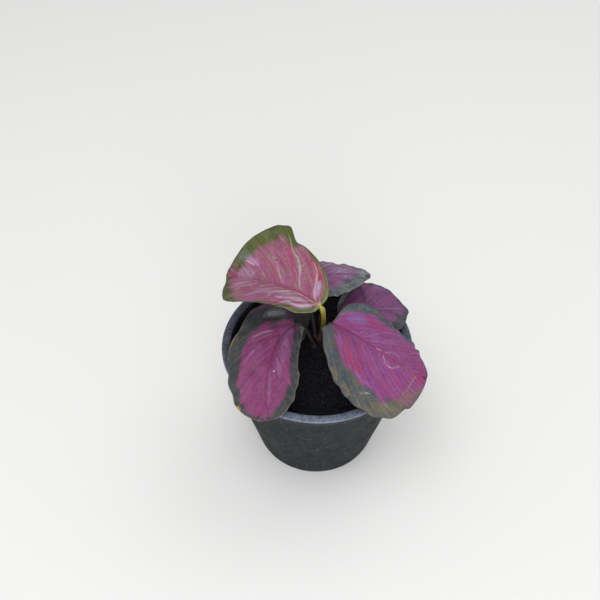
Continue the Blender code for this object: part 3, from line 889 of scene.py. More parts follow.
@dataclass(frozen=True)
class Leaf:
    """One leaf: a blade on a petiole that rises from the crown.

    A triple of angles holds degrees at the base, middle and tip. Heading is measured from +X
    towards +Y, pitch upwards, and roll lifts the left side. Folds lift each half of the blade from
    its midrib, and curls add to them towards the margin. Margins say how far each side stands out
    from a plain oval at four shares of the length. A nick is (side, share, spread, depth), and a
    roll is (side, share, spread, turn, start). Bands give the width of the margin's colour at even
    steps from base to tip.
    """

    name: str
    skin: LeafSkin
    slot: str
    stalk: StalkFinish
    stalk_slot: str
    base: Triple
    length: float
    widths: Pair
    heading: Triple
    pitch: Triple
    roll: Triple
    left_fold: Triple
    right_fold: Triple
    left_curl: Triple
    right_curl: Triple
    egg: float
    square: float
    lobes: Pair
    sweep: float
    left_margin: tuple[float, ...]
    right_margin: tuple[float, ...]
    crown_angle: float
    crown_level: float
    petiole_radius: float
    rise: Triple
    reach: float
    left_band: tuple[float, ...]
    right_band: tuple[float, ...]
    marks: tuple[Streak, ...] = ()
    nicks: tuple[tuple[float, ...], ...] = ()
    rolls: tuple[tuple[float, ...], ...] = ()
    wave: float = 0.0
    waves: float = 3.0
    phases: Pair = (0.0, 0.4)
    point: float = 2.0
    crown_offset: float = 3.8
    vein_slope: Pair = (1.2, 2.0)
    vein_bend: float = 0.01
    ragged: float = 0.16
    crinkle: float = 0.2
    stations: int = 170
    columns: int = 73
    seed: int = 1

    MARGIN_SHARES = (0.2, 0.4, 0.6, 0.8)
    MARGIN_SPREAD = 0.12
    RAGGED_WAVES = 5
    RAGGED_LENGTHS = (6, 14)
    LOBE_SHARE = 0.07
    POINT_POWER = 150  # High, so that only the last rows before the tip are drawn out.

    MIDRIB_STEPS = 60
    SECTION_STEPS = 16
    OUTLINE_STEPS = 260
    ROW_POWER = 0.95  # Below one, it sets the points closer together towards the margin.

    THICKNESS = 0.36
    RIM_THICKNESS = 0.10
    RIDGE = 0.75
    CHANNEL = 0.30
    RIB_WIDTH = 0.75
    VEIN_RELIEF = 0.16
    DIMPLE = 0.28
    DIMPLE_WAVES = 9
    DIMPLE_LENGTHS = (7, 16)

    STALK_SPREAD = 6.0
    STALK_FADE = (0.06, 0.22)
    STALK_THINNING = 0.85
    BAND_BLEND = 2.5
    HALF_BLEND = 0.8
    HALVES_APART = 5  # How far each half's noise lies from the midrib's, so they don't mirror.
    MAP_MIDDLE = 40  # Where the midrib lies across the flat UV map, in millimetres.

    SOLID_SETBACK = 0.6
    SOLID_HALF_BLADE = 0.35
    SOLID_HALF_RIDGE = 0.45
    STALK_SIDES = 20
    STALK_STEPS = 29
    RIB_SHARES = (0.015, 0.035, 0.06, 0.09)
    RIB_TAPER = (0.8, 0.6, 0.45, 0.3)

    def directions(self, share: Array) -> tuple[Array, Array, Array]:
        """Find the three ways that the blade is built along.

        Args:
            share: Shares of the midrib's length.

        Returns:
            The midrib's direction, the left side and the upward normal at each share.
        """
        heading, pitch, roll = (
            np.radians(through(values, share)) for values in (self.heading, self.pitch, self.roll)
        )
        level = np.cos(pitch)
        along = np.stack([level * np.cos(heading), level * np.sin(heading), np.sin(pitch)], -1)
        flat_side = np.stack([-np.sin(heading), np.cos(heading), np.zeros_like(heading)], -1)
        flat_up = np.cross(along, flat_side)
        turn = roll[..., None]
        side = flat_side * np.cos(turn) + flat_up * np.sin(turn)
        return along, side, flat_up * np.cos(turn) - flat_side * np.sin(turn)

    def midrib(self, share: Array) -> Array:
        """Follow the midrib, and carry it straight on past both its ends.

        Args:
            share: Shares of its length, which may lie below 0 or above 1.

        Returns:
            The point at each share.
        """
        marks = np.linspace(0, 1, self.MIDRIB_STEPS + 1)
        along = self.directions((marks[1:] + marks[:-1]) / 2)[0]
        path = np.vstack([np.zeros(3), np.cumsum(along * self.length / self.MIDRIB_STEPS, 0)])
        path = path + np.array(self.base)
        inside = np.clip(share, 0, 1)
        points = np.stack([np.interp(inside, marks, path[:, axis]) for axis in range(3)], -1)
        return points + self.directions(inside)[0] * ((share - inside) * self.length)[..., None]

    def half_width(self, share: Array, side: Side) -> Array:
        """Draw the blade's outline: an uneven oval with nicks, slightly ragged.

        Args:
            share: Shares of the midrib's length.
            side: The half of the blade.

        Returns:
            The flat distance from the midrib to the margin at each share.
        """
        left = side is Side.LEFT
        width = self.widths[0] if left else self.widths[1]
        margin = self.left_margin if left else self.right_margin
        egg = np.clip(share, 1e-9, 1) ** self.egg
        half = width * np.maximum(0, 1 - np.abs(1 - 2 * egg) ** self.square) ** (1 / self.square)
        for at, reach in zip(self.MARGIN_SHARES, margin):
            half = half + reach * np.exp(-(((share - at) / self.MARGIN_SPREAD) ** 2))
        for nick_side, at, spread, depth in self.nicks:
            if nick_side == side.value:
                half = half + depth * np.exp(-(((share - at) / spread) ** 2))
        draw = np.random.default_rng(self.seed * 2 + left)
        for _ in range(self.RAGGED_WAVES):
            wavelength, phase = draw.uniform(*self.RAGGED_LENGTHS), draw.uniform(0, math.tau)
            uneven = np.sin(share * self.length * math.tau / wavelength + phase)
            half = half + self.ragged / 2 * uneven * smooth_step(0.0, 4.0, half)
        return np.where((share <= 0) | (share >= 1), 0.0, half)

    def flat_place(self, share: Array, across: Array) -> tuple[Array, Array]:
        """Place points on the flattened blade.

        Args:
            share: Shares of the midrib's length.
            across: Where they lie from -1 at the right margin to 1 at the left one.

        Returns:
            How far along the midrib each lies, and how far to its left.
        """
        left = across >= 0
        reach = np.abs(across)
        half = np.where(left, self.half_width(share, Side.LEFT), self.half_width(share, Side.RIGHT))
        back = share / self.LOBE_SHARE * np.exp(1 - share / self.LOBE_SHARE)
        forward = self.sweep * self.length * 4 * share * (1 - share) * reach**2
        along = self.length * share - np.where(left, *self.lobes) * back * reach**1.5
        return along + forward + self.point * share**self.POINT_POWER, across * half

    def surface(self, share: Array, across: Array) -> tuple[Array, Array]:
        """Bend the flattened blade by its folds, curls, rolls and waves.

        Args:
            share: Shares of the midrib's length.
            across: Where the points lie from -1 at the right margin to 1 at the left one.

        Returns:
            The points of the blade's middle surface, and its upward normals.
        """
        left = across >= 0
        sign = np.where(left, 1.0, -1.0)
        reach = np.abs(across)
        along, lateral = self.flat_place(share, across)
        half = np.where(left, self.half_width(share, Side.LEFT), self.half_width(share, Side.RIGHT))
        at = along / self.length
        inside = np.clip(at, 0, 1)
        fold = np.where(left, through(self.left_fold, inside), through(self.right_fold, inside))
        curl = np.where(left, through(self.left_curl, inside), through(self.right_curl, inside))
        full = np.where(left, *self.widths)
        outward = np.zeros_like(half)
        upward = np.zeros_like(half)
        angle = fold
        for step in range(self.SECTION_STEPS):
            part = (step + 0.5) / self.SECTION_STEPS * reach
            angle = np.radians(fold + curl * part * half / full)
            for side, place, spread, turn, start in self.rolls:
                bend = np.clip((part - start) / (1 - start), 0, 1)
                bend = bend * np.exp(-(((share - place) / spread) ** 2)) * (sign == side)
                angle = angle + np.radians(turn) * bend
            outward = outward + np.cos(angle) * np.abs(lateral) / self.SECTION_STEPS
            upward = upward + np.sin(angle) * np.abs(lateral) / self.SECTION_STEPS
        ripple = np.sin(2 * np.pi * (self.waves * share + np.where(left, *self.phases)))
        upward = upward + self.wave * reach**3 * ripple * np.minimum(1, half / (0.4 * full))
        _, side_way, up = self.directions(inside)
        points = self.midrib(at) + side_way * (sign * outward)[..., None] + up * upward[..., None]
        normals = up * np.cos(angle)[..., None] - side_way * (sign * np.sin(angle))[..., None]
        return points, normals

    def edge_distance(self, along: Array, lateral: Array) -> Array:
        """Measure how far places on the flattened blade lie from its margin.

        Args:
            along: How far along the midrib each lies.
            lateral: How far to its left each lies.

        Returns:
            The distances.
        """
        turns = (1 - np.cos(np.linspace(0, math.pi, self.OUTLINE_STEPS))) / 2
        left = np.stack(self.flat_place(turns, np.ones_like(turns)), -1)
        right = np.stack(self.flat_place(turns, -np.ones_like(turns)), -1)
        outline = np.vstack([left, right[::-1]])
        return distance_to_line(np.stack([along, lateral], -1), outline)

    def vein_place(self, along: Array, lateral: Array) -> Array:
        """Find which side vein passes through each place.

        Args:
            along: How far along the midrib each place lies.
            lateral: How far to its left each lies.

        Returns:
            Where each place's vein leaves the midrib, scaled so that veins stand evenly apart.
        """
        first, last = self.vein_slope
        reach = np.abs(lateral)
        start = along - first * reach - self.vein_bend * reach**2
        start = start / (1 + (last - first) / self.length * reach)
        return start / math.hypot(1, (first + last) / 2)

    def band_width(self, share: Array, lateral: Array) -> Array:
        """Find how wide the margin's colour is. It thins out beside the stalk.

        Args:
            share: Shares of the midrib's length.
            lateral: How far to the midrib's left each place lies.

        Returns:
            The width beside each place.
        """
        left, right = (
            np.interp(share, np.linspace(0, 1, len(band)), band)
            for band in (self.left_band, self.right_band)
        )
        beside_stalk = np.exp(-((lateral / self.STALK_SPREAD) ** 2))
        beside_stalk = beside_stalk * (1 - smooth_step(*self.STALK_FADE, share))
        width = right + (left - right) * smooth_step(-self.BAND_BLEND, self.BAND_BLEND, lateral)
        return width * (1 - self.STALK_THINNING * beside_stalk)

    def mark_amount(self, mark: Mark, along: Array, lateral: Array) -> Array:
        """Draw all the streaks of one colour.

        Args:
            mark: The colour.
            along: How far along the midrib each place lies.
            lateral: How far to its left each lies.

        Returns:
            How strongly each place carries the mark.
        """
        amount = np.zeros_like(along)
        places = np.stack([along, lateral], -1)
        for streak in self.marks:
            if streak.mark is mark:
                line = np.stack(self.flat_place(*streak.line()), -1)
                away, at = distance_to_line(places, line, with_share=True)
                width = streak.width * np.sqrt(np.clip(1 - np.abs(2 * at - 1) ** 3, 0.08, 1))
                amount = np.maximum(amount, streak.strength * np.exp(-((away / width) ** 2)))
        return amount

    def build(self) -> Mesh:
        """Build the blade as one closed thin shell, with the fields that its finish reads.

        Returns:
            The blade's mesh, with its underside's finish first and its upper side's second.
        """
        turns = np.linspace(0, math.pi, self.stations)
        shares = ((1 - np.cos(turns)) / 2)[1:-1]
        half_row = np.linspace(0, 1, self.columns) ** self.ROW_POWER
        across_row = np.concatenate([-half_row[:0:-1], half_row])
        share, across = (grid.ravel() for grid in np.meshgrid(shares, across_row, indexing="ij"))
        share = np.append(share, [0.0, 1.0])
        across = np.append(across, [0.0, 0.0])
        points, normals = self.surface(share, across)
        along, lateral = self.flat_place(share, across)
        reach = np.abs(across)
        edge = self.edge_distance(along, lateral)
        vein = self.vein_place(along, lateral)
        clear = smooth_step(0.5, 3.0, np.abs(lateral)) * smooth_step(0.0, 2.5, edge)
        relief = self.VEIN_RELIEF * np.sin(np.pi * vein / LeafSkin.SIDE_VEIN_SPACING) ** 2 * clear
        draw = np.random.default_rng(self.seed)
        for _ in range(self.DIMPLE_WAVES):
            heading = draw.uniform(0, math.tau)
            wavelength = draw.uniform(*self.DIMPLE_LENGTHS)
            phase = draw.uniform(0, math.tau)
            turn = (along * math.cos(heading) + lateral * math.sin(heading)) * math.tau / wavelength
            relief = relief + self.DIMPLE / 3 * np.sin(turn + phase) * clear
            turn = share * self.length * math.tau / (wavelength * 0.6)
            relief = relief + self.crinkle / 2 * reach**5 * np.sin(turn + phase * 2 + np.sign(across))
        rib = np.exp(-((lateral / self.RIB_WIDTH) ** 2)) * (1 - 0.8 * share)
        thinning = self.THICKNESS - self.RIM_THICKNESS
        thickness = self.RIM_THICKNESS + thinning * smooth_step(0.0, 1.5, edge)
        upper = points + normals * (thickness / 2 + relief - self.CHANNEL * rib)[:, None]
        lower = points + normals * (relief - thickness / 2 - self.RIDGE * rib)[:, None]

        count, width, rows = len(points), len(across_row), len(shares)
        base, tip = count - 2, count - 1
        faces = []
        for row in range(rows - 1):
            for column in range(width - 1):
                near = row * width + column
                faces.append((near, near + width, near + width + 1, near + 1))
        for column in range(width - 1):
            last = (rows - 1) * width + column
            faces.append((base, column, column + 1))
            faces.append((last + 1, last, tip))
        top = [tuple(reversed(face)) for face in faces]
        under = [tuple(corner + count for corner in face) for face in faces]
        rim = [base] + [row * width for row in range(rows)] + [tip]
        rim += [row * width + width - 1 for row in reversed(range(rows))]
        rim_ahead = rim[1:] + rim[:1]
        sides = [(end, start, start + count, end + count) for start, end in zip(rim, rim_ahead)]
        mesh = mesh_from(self.name, np.vstack([upper, lower]), under + top + sides)
        fields = {
            "share": share,
            "vein": vein,
            "lateral": np.abs(lateral),
            "half": np.clip(lateral / self.HALF_BLEND, -1, 1) * self.HALVES_APART,
            "edge": edge,
            "core": edge - self.band_width(share, lateral),
        }
        fields |= {mark.value: self.mark_amount(mark, along, lateral) for mark in Mark}
        for name, values in fields.items():
            set_field(mesh, name, np.tile(values, 2))
        corners = np.zeros(len(mesh.loops), np.int32)
        mesh.loops.foreach_get("vertex_index", corners)
        flat = np.stack([along, lateral + self.MAP_MIDDLE], -1) / LeafSkin.MAP_SIZE
        flat = np.tile(flat, (2, 1))[corners]
        mesh.uv_layers.new(name="flat").data.foreach_set("uv", flat.astype(np.float32).ravel())
        mesh.materials.append(self.skin.lower())
        mesh.materials.append(self.skin.upper())
        skins = np.ones(len(mesh.polygons), np.int32)
        skins[: len(under)] = 0
        mesh.polygons.foreach_set("material_index", skins)
        return mesh

    def socket(self, crown: "Crown") -> Vector:
        """Find where the leaf's sheath ends and its petiole starts.

        Args:
            crown: The plant's foot.

        Returns:
            The point.
        """
        angle = math.radians(self.crown_angle)
        x = crown.centre[0] + self.crown_offset * math.cos(angle)
        y = crown.centre[1] + self.crown_offset * math.sin(angle)
        return Vector((x, y, self.crown_level))

    def petiole_path(self, crown: "Crown") -> list[Vector]:
        """Draw the petiole's centre line, bent to meet the blade from below.

        Args:
            crown: The plant's foot.

        Returns:
            Points from inside the sheath to the ridge below the midrib.
        """
        start = self.socket(crown)
        along, _, up = (Vector(way[0]) for way in self.directions(np.zeros(1)))
        drop = self.THICKNESS / 2 + self.RIDGE / 2
        # The bend ends where the CAD stalk does, and the last points run on into the ridge.
        end = Vector(self.base) - along * self.SOLID_SETBACK
        end = end - up * (self.SOLID_HALF_BLADE + self.SOLID_HALF_RIDGE)
        near = start + Vector(self.rise)
        far = end - along * self.reach
        start = start - Vector(self.rise).normalized() * 2.0
        path = []
        for step in range(self.STALK_STEPS + 1):
            t = step / self.STALK_STEPS
            weights = ((1 - t) ** 3, 3 * t * (1 - t) ** 2, 3 * t * t * (1 - t), t**3)
            parts = (point * weight for point, weight in zip((start, near, far, end), weights))
            path.append(sum(parts, Vector()))
        for share in self.RIB_SHARES:
            rib = Vector(self.midrib(np.array([share]))[0])
            path.append(rib - Vector(self.directions(np.array([share]))[2][0]) * drop)
        return path

    def petiole_radii(self, count: int) -> list[float]:
        """Find the petiole's thickness: less upwards, and swollen just below the blade.

        Args:
            count: How many points its centre line has.

        Returns:
            Its radius at each point.
        """
        radii = []
        last = count - len(self.RIB_TAPER) - 1
        for step in range(last + 1):
            t = step / last
            swell = 0.22 * math.exp(-(((t - 0.8) / 0.12) ** 2))
            radii.append(self.petiole_radius * (1 - 0.25 * t + swell))
        return radii + [radii[-1] * part for part in self.RIB_TAPER]

    def build_petiole(self, crown: "Crown", growth: Growth) -> Mesh:
        """Build the petiole.

        Args:
            crown: The plant's foot.
            growth: The tree that sweeps a tube.

        Returns:
            The petiole's mesh, a closed tube.
        """
        path = self.petiole_path(crown)
        radii = self.petiole_radii(len(path))
        return sweep(growth, path, radii, self.STALK_SIDES, self.stalk.material())


def distance_to_line(places: Array, line: Array, with_share: bool = False) -> Array | tuple[Array, Array]:
    """Measure how far flat places lie from a line of straight pieces.

    Args:
        places: Rows of two coordinates.
        line: The line's corners, one to a row.
        with_share: Also return how far along the line, from 0 to 1, each nearest point lies.

    Returns:
        The distances, and the shares where they are asked for.
    """
    nearest = np.full(len(places), np.inf)
    share = np.zeros(len(places))
    pieces = len(line) - 1
    for index in range(pieces):
        start, way = line[index], line[index + 1] - line[index]
        square = max(float(way @ way), 1e-9)
        at = np.clip((places - start) @ way / square, 0, 1)
        away = np.hypot(*(places - start - at[:, None] * way).T)
        closer = away < nearest
        nearest[closer] = away[closer]
        share[closer] = (index + at[closer]) / pieces
    return (nearest, share) if with_share else nearest


def sweep(growth: Growth, path: list[Vector], radii: list[float], sides: int, finish: Material) -> Mesh:
    """Sweep a round tube along a path.

    Args:
        growth: The tree that sweeps it.
        path: Points in millimetres.
        radii: The tube's radius at each point, in millimetres.
        sides: How many sides its section has.
        finish: Its material.

    Returns:
        The tube's mesh, with its share of the length as a field.
    """
    line = bpy.data.meshes.new("path")
    edges = [(index, index + 1) for index in range(len(path) - 1)]
    line.from_pydata([tuple(point * MM) for point in path], edges, [])
    set_field(line, "thick", np.array(radii) * MM)
    set_field(line, "share", np.linspace(0, 1, len(path)))
    return growth.grow(line, Sides=sides, Finish=finish)


def joined(meshes: list[Mesh]) -> Mesh:
    """Join meshes.

    Args:
        meshes: The meshes, which are removed afterwards.

    Returns:
        One mesh that holds them all, with the first one's material.
    """
    shape = bmesh.new()
    for mesh in meshes:
        shape.from_mesh(mesh)
    made = meshes[0].copy()
    shape.to_mesh(made)
    shape.free()
    for mesh in meshes:
        bpy.data.meshes.remove(mesh)
    return made


@dataclass(frozen=True)
class Crown:
    """The leaf sheaths at the foot of the plant, with one dry taller sheath behind the young leaf."""

    centre: Pair = (1.5, 5.5)
    foot_level: float = 62.0
    sheath_wall: float = 0.5
    tall_foot: Triple = (2.4, 8.8, 62.0)
    tall_top: Triple = (1.4, 9.4, 86.0)
    tall_radius: float = 1.1

    STEPS = 9
    TALL_STEPS = 13

    def build(self, leaves: tuple[Leaf, ...], growth: Growth, finish: Material) -> Mesh:
        """Build all the sheaths as one mesh.

        Args:
            leaves: The leaves whose petioles the sheaths wrap.
            growth: The tree that sweeps a tube.
            finish: The sheaths' material.

        Returns:
            The crown's mesh.
        """
        x, y = self.centre
        parts = []
        for leaf in leaves:
            top = leaf.socket(self) + Vector(leaf.rise).normalized() * 0.6
            foot = Vector((x + (top.x - x) * 0.6, y + (top.y - y) * 0.6, self.foot_level))
            wide = leaf.petiole_radius + self.sheath_wall
            path = [foot.lerp(top, step / self.STEPS) for step in range(self.STEPS + 1)]
            radii = [wide + 0.9 * (1 - step / self.STEPS) ** 1.5 for step in range(self.STEPS)]
            radii.append(leaf.petiole_radius)
            parts.append(sweep(growth, path, radii, 20, finish))
        foot, top = Vector(self.tall_foot), Vector(self.tall_top)
        steps = range(self.TALL_STEPS + 1)
        path = [foot.lerp(top, step / self.TALL_STEPS) for step in steps]
        radii = [self.tall_radius * (1.4 - 0.85 * step / self.TALL_STEPS) for step in steps]
        parts.append(sweep(growth, path, radii, 16, finish))
        return joined(parts)


@dataclass(frozen=True)
class Pot:
    """A round tapered nursery pot with a thick rounded lip and a drained base.

    Two fields run from 0 to about 1: wear is how faded the plastic is, and the other is how worn an edge is
    by rubbing, which along the lip's outer rounded corner is mostly a painted highlight. The photograph
    shows most of both at the front of the lip, so the front half has more of them, partly as painted light
    where the front of the lip is lit.
    """

    height: float = 75.0
    rim_radius: float = 50.0
    base_radius: float = 33.0
    lip_width: float = 4.7
    lip_depth: float = 9.0
    lip_corner: float = 0.8
    wall: float = 2.2
    floor: float = 2.2
    foot_width: float = 4.0
    hub_radius: float = 14.0
    recess: float = 1.5
    foot_rounding: float = 1.2
    floor_rounding: float = 2.0
    drain_holes: int = 6
    drain_radius: float = 3.0
    drain_circle: float = 21.5
    segments: int = 192
    lip_inset: float = 0.15
    lip_crown: float = 0.05
    uneven: float = 0.12
    worn_and_lit_behind: float = 0.45
    worn_and_lit_in_front: float = 0.65

    CORNER_STEPS = 8
    FOOT_STEPS = 4
    OUTER_ROWS = 34
    INNER_ROWS = 22

    def outer_radius(self, level: float) -> float:
        """Return the outer radius at a height."""
        return self.base_radius + (self.rim_radius - self.base_radius) * level / self.height

    def inner_radius(self, level: float) -> float:
        """Return the inner radius at a height, where the wall thickens at the lip."""
        share = max(0.0, (level - self.height + self.lip_depth) / self.lip_depth)
        return self.outer_radius(level) - self.wall - (self.lip_width - self.wall) * share

    def lip_section(self) -> Section:
        """Draw the lip's section from its outer corner over the flat top to its inner one.

        Returns:
            Rows of radius, height, wear, and edge rubbing with painted highlight, which here is mostly the
            highlight.
        """
        rows = []
        corner, crown, steps = self.lip_corner, self.lip_crown, self.CORNER_STEPS
        for step in range(steps + 1):
            turn = math.radians(90 * step / steps)
            radius = self.rim_radius - self.lip_inset - corner * (1 - math.cos(turn))
            level = self.height - crown - corner * (1 - math.sin(turn))
            # A painted highlight along the outer rounded corner, strongest halfway round it.
            scuff = 0.8 * math.exp(-(((step / steps - 0.5) / 0.35) ** 2))
            rows.append((radius, level, min(1.0, step / 3), scuff))
        inner = self.inner_radius(self.height) + corner
        outer = self.rim_radius - self.lip_inset - corner
        for step in range(1, steps):
            across = step / steps
            wear = 1.0 - 0.35 * across
            level = self.height - crown * (2 * across - 1) ** 2
            # The painted highlight reaches faintly over the outer part of the flat top.
            rows.append((outer + (inner - outer) * across, level, wear, 0.3 * (1 - across) ** 2))
        for step in range(steps):
            turn = math.radians(90 * step / (steps - 1))
            radius = inner - corner * math.sin(turn)
            level = self.height - crown - corner * (1 - math.cos(turn))
            rows.append((radius, level, 0.65, 0.0))
        return rows

    def profile(self) -> Section:
        """Draw the half section from the middle of the base round to the inner floor.

        Returns:
            Rows of radius, height, wear, and edge rubbing with painted highlight.
        """
        inner = self.hub_radius + self.recess
        outer = self.base_radius - self.foot_width - self.recess
        rows = [(0.0, 0.0, 0.2, 0.0), (self.hub_radius, 0.0, 0.4, 0.5), (inner, self.recess, 0.1, 0.0)]
        rows += [(outer, self.recess, 0.1, 0.0), (self.base_radius - self.foot_width, 0.0, 0.4, 0.5)]
        for step in range(self.FOOT_STEPS + 1):
            turn = math.radians(90 * step / self.FOOT_STEPS)
            radius = self.base_radius - self.foot_rounding * (1 - math.sin(turn))
            rows.append((radius, self.foot_rounding * (1 - math.cos(turn)), 0.3, 0.5 - 0.1 * step))
        top = self.height - self.lip_corner - 0.3
        for level in np.linspace(self.foot_rounding + 1.5, top, self.OUTER_ROWS):
            wear = 0.06 + 0.2 * max(0.0, (level - top + 3.0) / 3.0)
            rows.append((self.outer_radius(level), float(level), wear, 0.0))
        rows += self.lip_section()
        bend = self.recess + self.floor + self.floor_rounding
        for level in np.linspace(top - 0.6, bend, self.INNER_ROWS):
            wear = 0.6 * max(0.0, (level - top + 2.5) / 2.5)
            rows.append((self.inner_radius(level), float(level), wear, 0.0))
        floor = self.recess + self.floor
        rows.append((self.inner_radius(floor) - self.floor_rounding, floor, 0.0, 0.0))
        rows.append((0.0, floor, 0.0, 0.0))
        return rows

    def build(self, growth: Growth, finish: Material) -> Mesh:
        """Build the pot, turned from its section and drained through its floor.

        Args:
            growth: The tree that cuts the drain holes.
            finish: The pot's material.

        Returns:
            The pot's mesh, with its wear and its edge rubbing with painted highlight as fields.
        """
        rows = self.profile()
        points, wear, scuff, faces = [], [], [], []
        for radius, level, worn, scuffed_and_lit in rows[1:-1]:
            for segment in range(self.segments):
                angle = math.tau * segment / self.segments
                x, y = math.cos(angle), math.sin(angle)
                uneven = self.uneven * noise.noise(Vector((x * 2.2, y * 2.2, level / 30)))
                reach = radius + uneven * min(1.0, level / 8)
                # More towards the front: partly worn plastic, partly painted light where the front is lit.
                worn_and_lit = self.worn_and_lit_behind + self.worn_and_lit_in_front * max(0.0, -y) ** 1.5
                points.append((reach * x, reach * y, level))
                wear.append(worn * worn_and_lit)
                scuff.append(scuffed_and_lit * worn_and_lit)
        centre = len(points)
        points += [(0.0, 0.0, rows[0][1]), (0.0, 0.0, rows[-1][1])]
        wear += [0.0, 0.0]
        scuff += [0.0, 0.0]
        for row in range(len(rows) - 3):
            for segment in range(self.segments):
                here = row * self.segments + segment
                beside = row * self.segments + (segment + 1) % self.segments
                faces.append((here, beside, beside + self.segments, here + self.segments))
        last = (len(rows) - 3) * self.segments
        for segment in range(self.segments):
            beside = (segment + 1) % self.segments
            faces.append((centre, beside, segment))
            faces.append((centre + 1, last + segment, last + beside))
        shell = mesh_from("pot_shell", points, faces)
        set_field(shell, "wear", wear)
        set_field(shell, "scuff", scuff)
        made = growth.grow(
            shell,
            Count=self.drain_holes,
            Circle_Radius=self.drain_circle * MM,
            Hole_Radius=self.drain_radius * MM,
            Depth=(self.recess + self.floor) * 3 * MM,
            Finish=finish,
        )
        made.set_sharp_from_angle(angle=math.radians(50))
        return made


@dataclass(frozen=True)
class Soil:
    """The potting mix: a rough top with crumbs and fibres, closed below inside the pot.

    Densities are in pieces to a square metre. Each kind of fibre is (length, bend, thickness).
    """

    edge_level: float = 66.0
    mound: float = 1.4
    roughness: float = 0.9
    wall_gap: float = 0.45
    bottom: float = 4.0
    rings: int = 90
    segments: int = 260
    lower_levels: Pair = (42.0, 20.0)
    bottom_rounding: float = 2.0
    crumb_density: float = 320000.0
    crumb_seed: int = 4
    crumb_radii: Pair = (0.25, 0.8)
    fibre_density: float = 70000.0
    fibre_seed: int = 20
    fibres: tuple[Triple, ...] = ((5.5, 1.8, 0.10), (3.5, -1.2, 0.13), (8.0, 3.0, 0.09))

    def edge_radius(self, pot: Pot) -> float:
        """Return the radius at which the soil's top meets the pot."""
        return pot.inner_radius(self.edge_level) - self.wall_gap

    def level(self, pot: Pot, x: float, y: float) -> float:
        """Find the soil's uneven height at a place, without its grains.

        Args:
            pot: The pot that it fills.
            x: How far right the place is.
            y: How far back it is.

        Returns:
            The height above the pot's foot.
        """
        radius = math.hypot(x, y)
        mound = self.mound * (1 - (radius / pot.inner_radius(self.edge_level)) ** 2)
        rough = noise.fractal(Vector((x, y, 3.0)) / 9.0, 1.0, 2.0, 3)
        return self.edge_level + mound + self.roughness * rough

    def grains(self, x: float, y: float) -> float:
        """Find how far grains lift or lower the surface at a place.

        Args:
            x: How far right the place is.
            y: How far back it is.

        Returns:
            The change in height.
        """
        lumps = noise.fractal(Vector((x, y, 1.0)) / 2.6, 0.9, 2.0, 3)
        pits = abs(noise.noise(Vector((x, y, 7.0)) / 1.1))
        return 0.55 * lumps - 0.5 * pits

    def bands(self, rings: range) -> list[tuple[int, ...]]:
        """Join rings of points, each to the next one out.

        Args:
            rings: The numbers of the rings, from the middle outwards.

        Returns:
            The faces between them.
        """
        faces = []
        for ring in rings:
            for segment in range(self.segments):
                here = 1 + ring * self.segments + segment
                beside = 1 + ring * self.segments + (segment + 1) % self.segments
                faces.append((here, here + self.segments, beside + self.segments, beside))
        return faces

    def build(self, pot: Pot, finish: Material) -> tuple[Mesh, Mesh]:
        """Build the soil.

        Args:
            pot: The pot that it fills.
            finish: The soil's material.

        Returns:
            Its closed body, and its top alone for what lies on it.
        """
        edge = self.edge_radius(pot)
        points = [(0.0, 0.0, self.level(pot, 0.0, 0.0))]
        for ring in range(1, self.rings + 1):
            radius = edge * ring / self.rings
            for segment in range(self.segments):
                angle = math.tau * segment / self.segments
                x, y = radius * math.cos(angle), radius * math.sin(angle)
                points.append((x, y, self.level(pot, x, y) + self.grains(x, y)))
        faces = []
        for segment in range(self.segments):
            faces.append((0, 1 + segment, 1 + (segment + 1) % self.segments))
        faces += self.bands(range(self.rings - 1))
        top = mesh_from("soil_top", points, faces)
        for level in (*self.lower_levels, self.bottom + self.bottom_rounding, self.bottom):
            rounding = self.bottom_rounding if level == self.bottom else 0.0
            radius = pot.inner_radius(level) - self.wall_gap - rounding
            for segment in range(self.segments):
                angle = math.tau * segment / self.segments
                points.append((radius * math.cos(angle), radius * math.sin(angle), level))
        faces += self.bands(range(self.rings - 1, self.rings + 3))
        last = 1 + (self.rings + 3) * self.segments
        faces.append(tuple(reversed(range(last, last + self.segments))))
        body = mesh_from("soil_body", points, faces)
        body.materials.append(finish)
        return body, top

    def crumb(self) -> bpy.types.Object:
        """Shape one rough crumb of unit size for the others to be copied from.

        Returns:
            The crumb, which isn't in the scene.
        """
        shape = bmesh.new()
        bmesh.ops.create_icosphere(shape, subdivisions=1, radius=1.0)
        for vertex in shape.verts:
            vertex.co *= 0.75 + 0.5 * noise.noise(vertex.co * 1.7 + Vector((3.1, 0.4, 2.2)))
            vertex.co.z *= 0.7
        mesh = bpy.data.meshes.new("crumb")
        shape.to_mesh(mesh)
        shape.free()
        return bpy.data.objects.new("crumb", mesh)

    def strew_crumbs(self, pot: Pot, top: Mesh) -> Mesh:
        """Strew crumbs over the soil, clear of the pot's wall.

        Args:
            pot: The pot that the soil fills.
            top: The soil's top.

        Returns:
            All the crumbs as one mesh.
        """
        crumb = self.crumb()
        smallest, largest = self.crumb_radii
        made = crumb_growth().grow(
            top.copy(),
            Density=self.crumb_density,
            Seed=self.crumb_seed,
            Reach=(self.edge_radius(pot) - largest) * MM,
            Smallest=smallest * MM,
            Largest=largest * MM,
            Crumb=crumb,
            Finish=SoilMix("peat_crumbs", "#15161a", "#3a3b3e").material(),
        )
        bpy.data.objects.remove(crumb, do_unlink=True)
        return made

    def strew_fibres(self, pot: Pot, top: Mesh) -> Mesh:
        """Strew each kind of coir fibre over the soil, clear of the pot's wall.

        Args:
            pot: The pot that the soil fills.
            top: The soil's top.

        Returns:
            All the fibres as one mesh.
        """
        growth = fibre_growth()
        coir = SoilMix("coir_fibre", "#242529", "#4f5156").material()
        parts = [
            growth.grow(
                top.copy(),
                Density=self.fibre_density,
                Seed=self.fibre_seed + kind,
                Reach=(self.edge_radius(pot) - length * LONGEST_FIBRE / 2) * MM,
                Length=length * MM,
                Bend=bend * MM,
                Thickness=thickness * MM,
                Finish=coir,
            )
            for kind, (length, bend, thickness) in enumerate(self.fibres)
        ]
        return joined(parts)


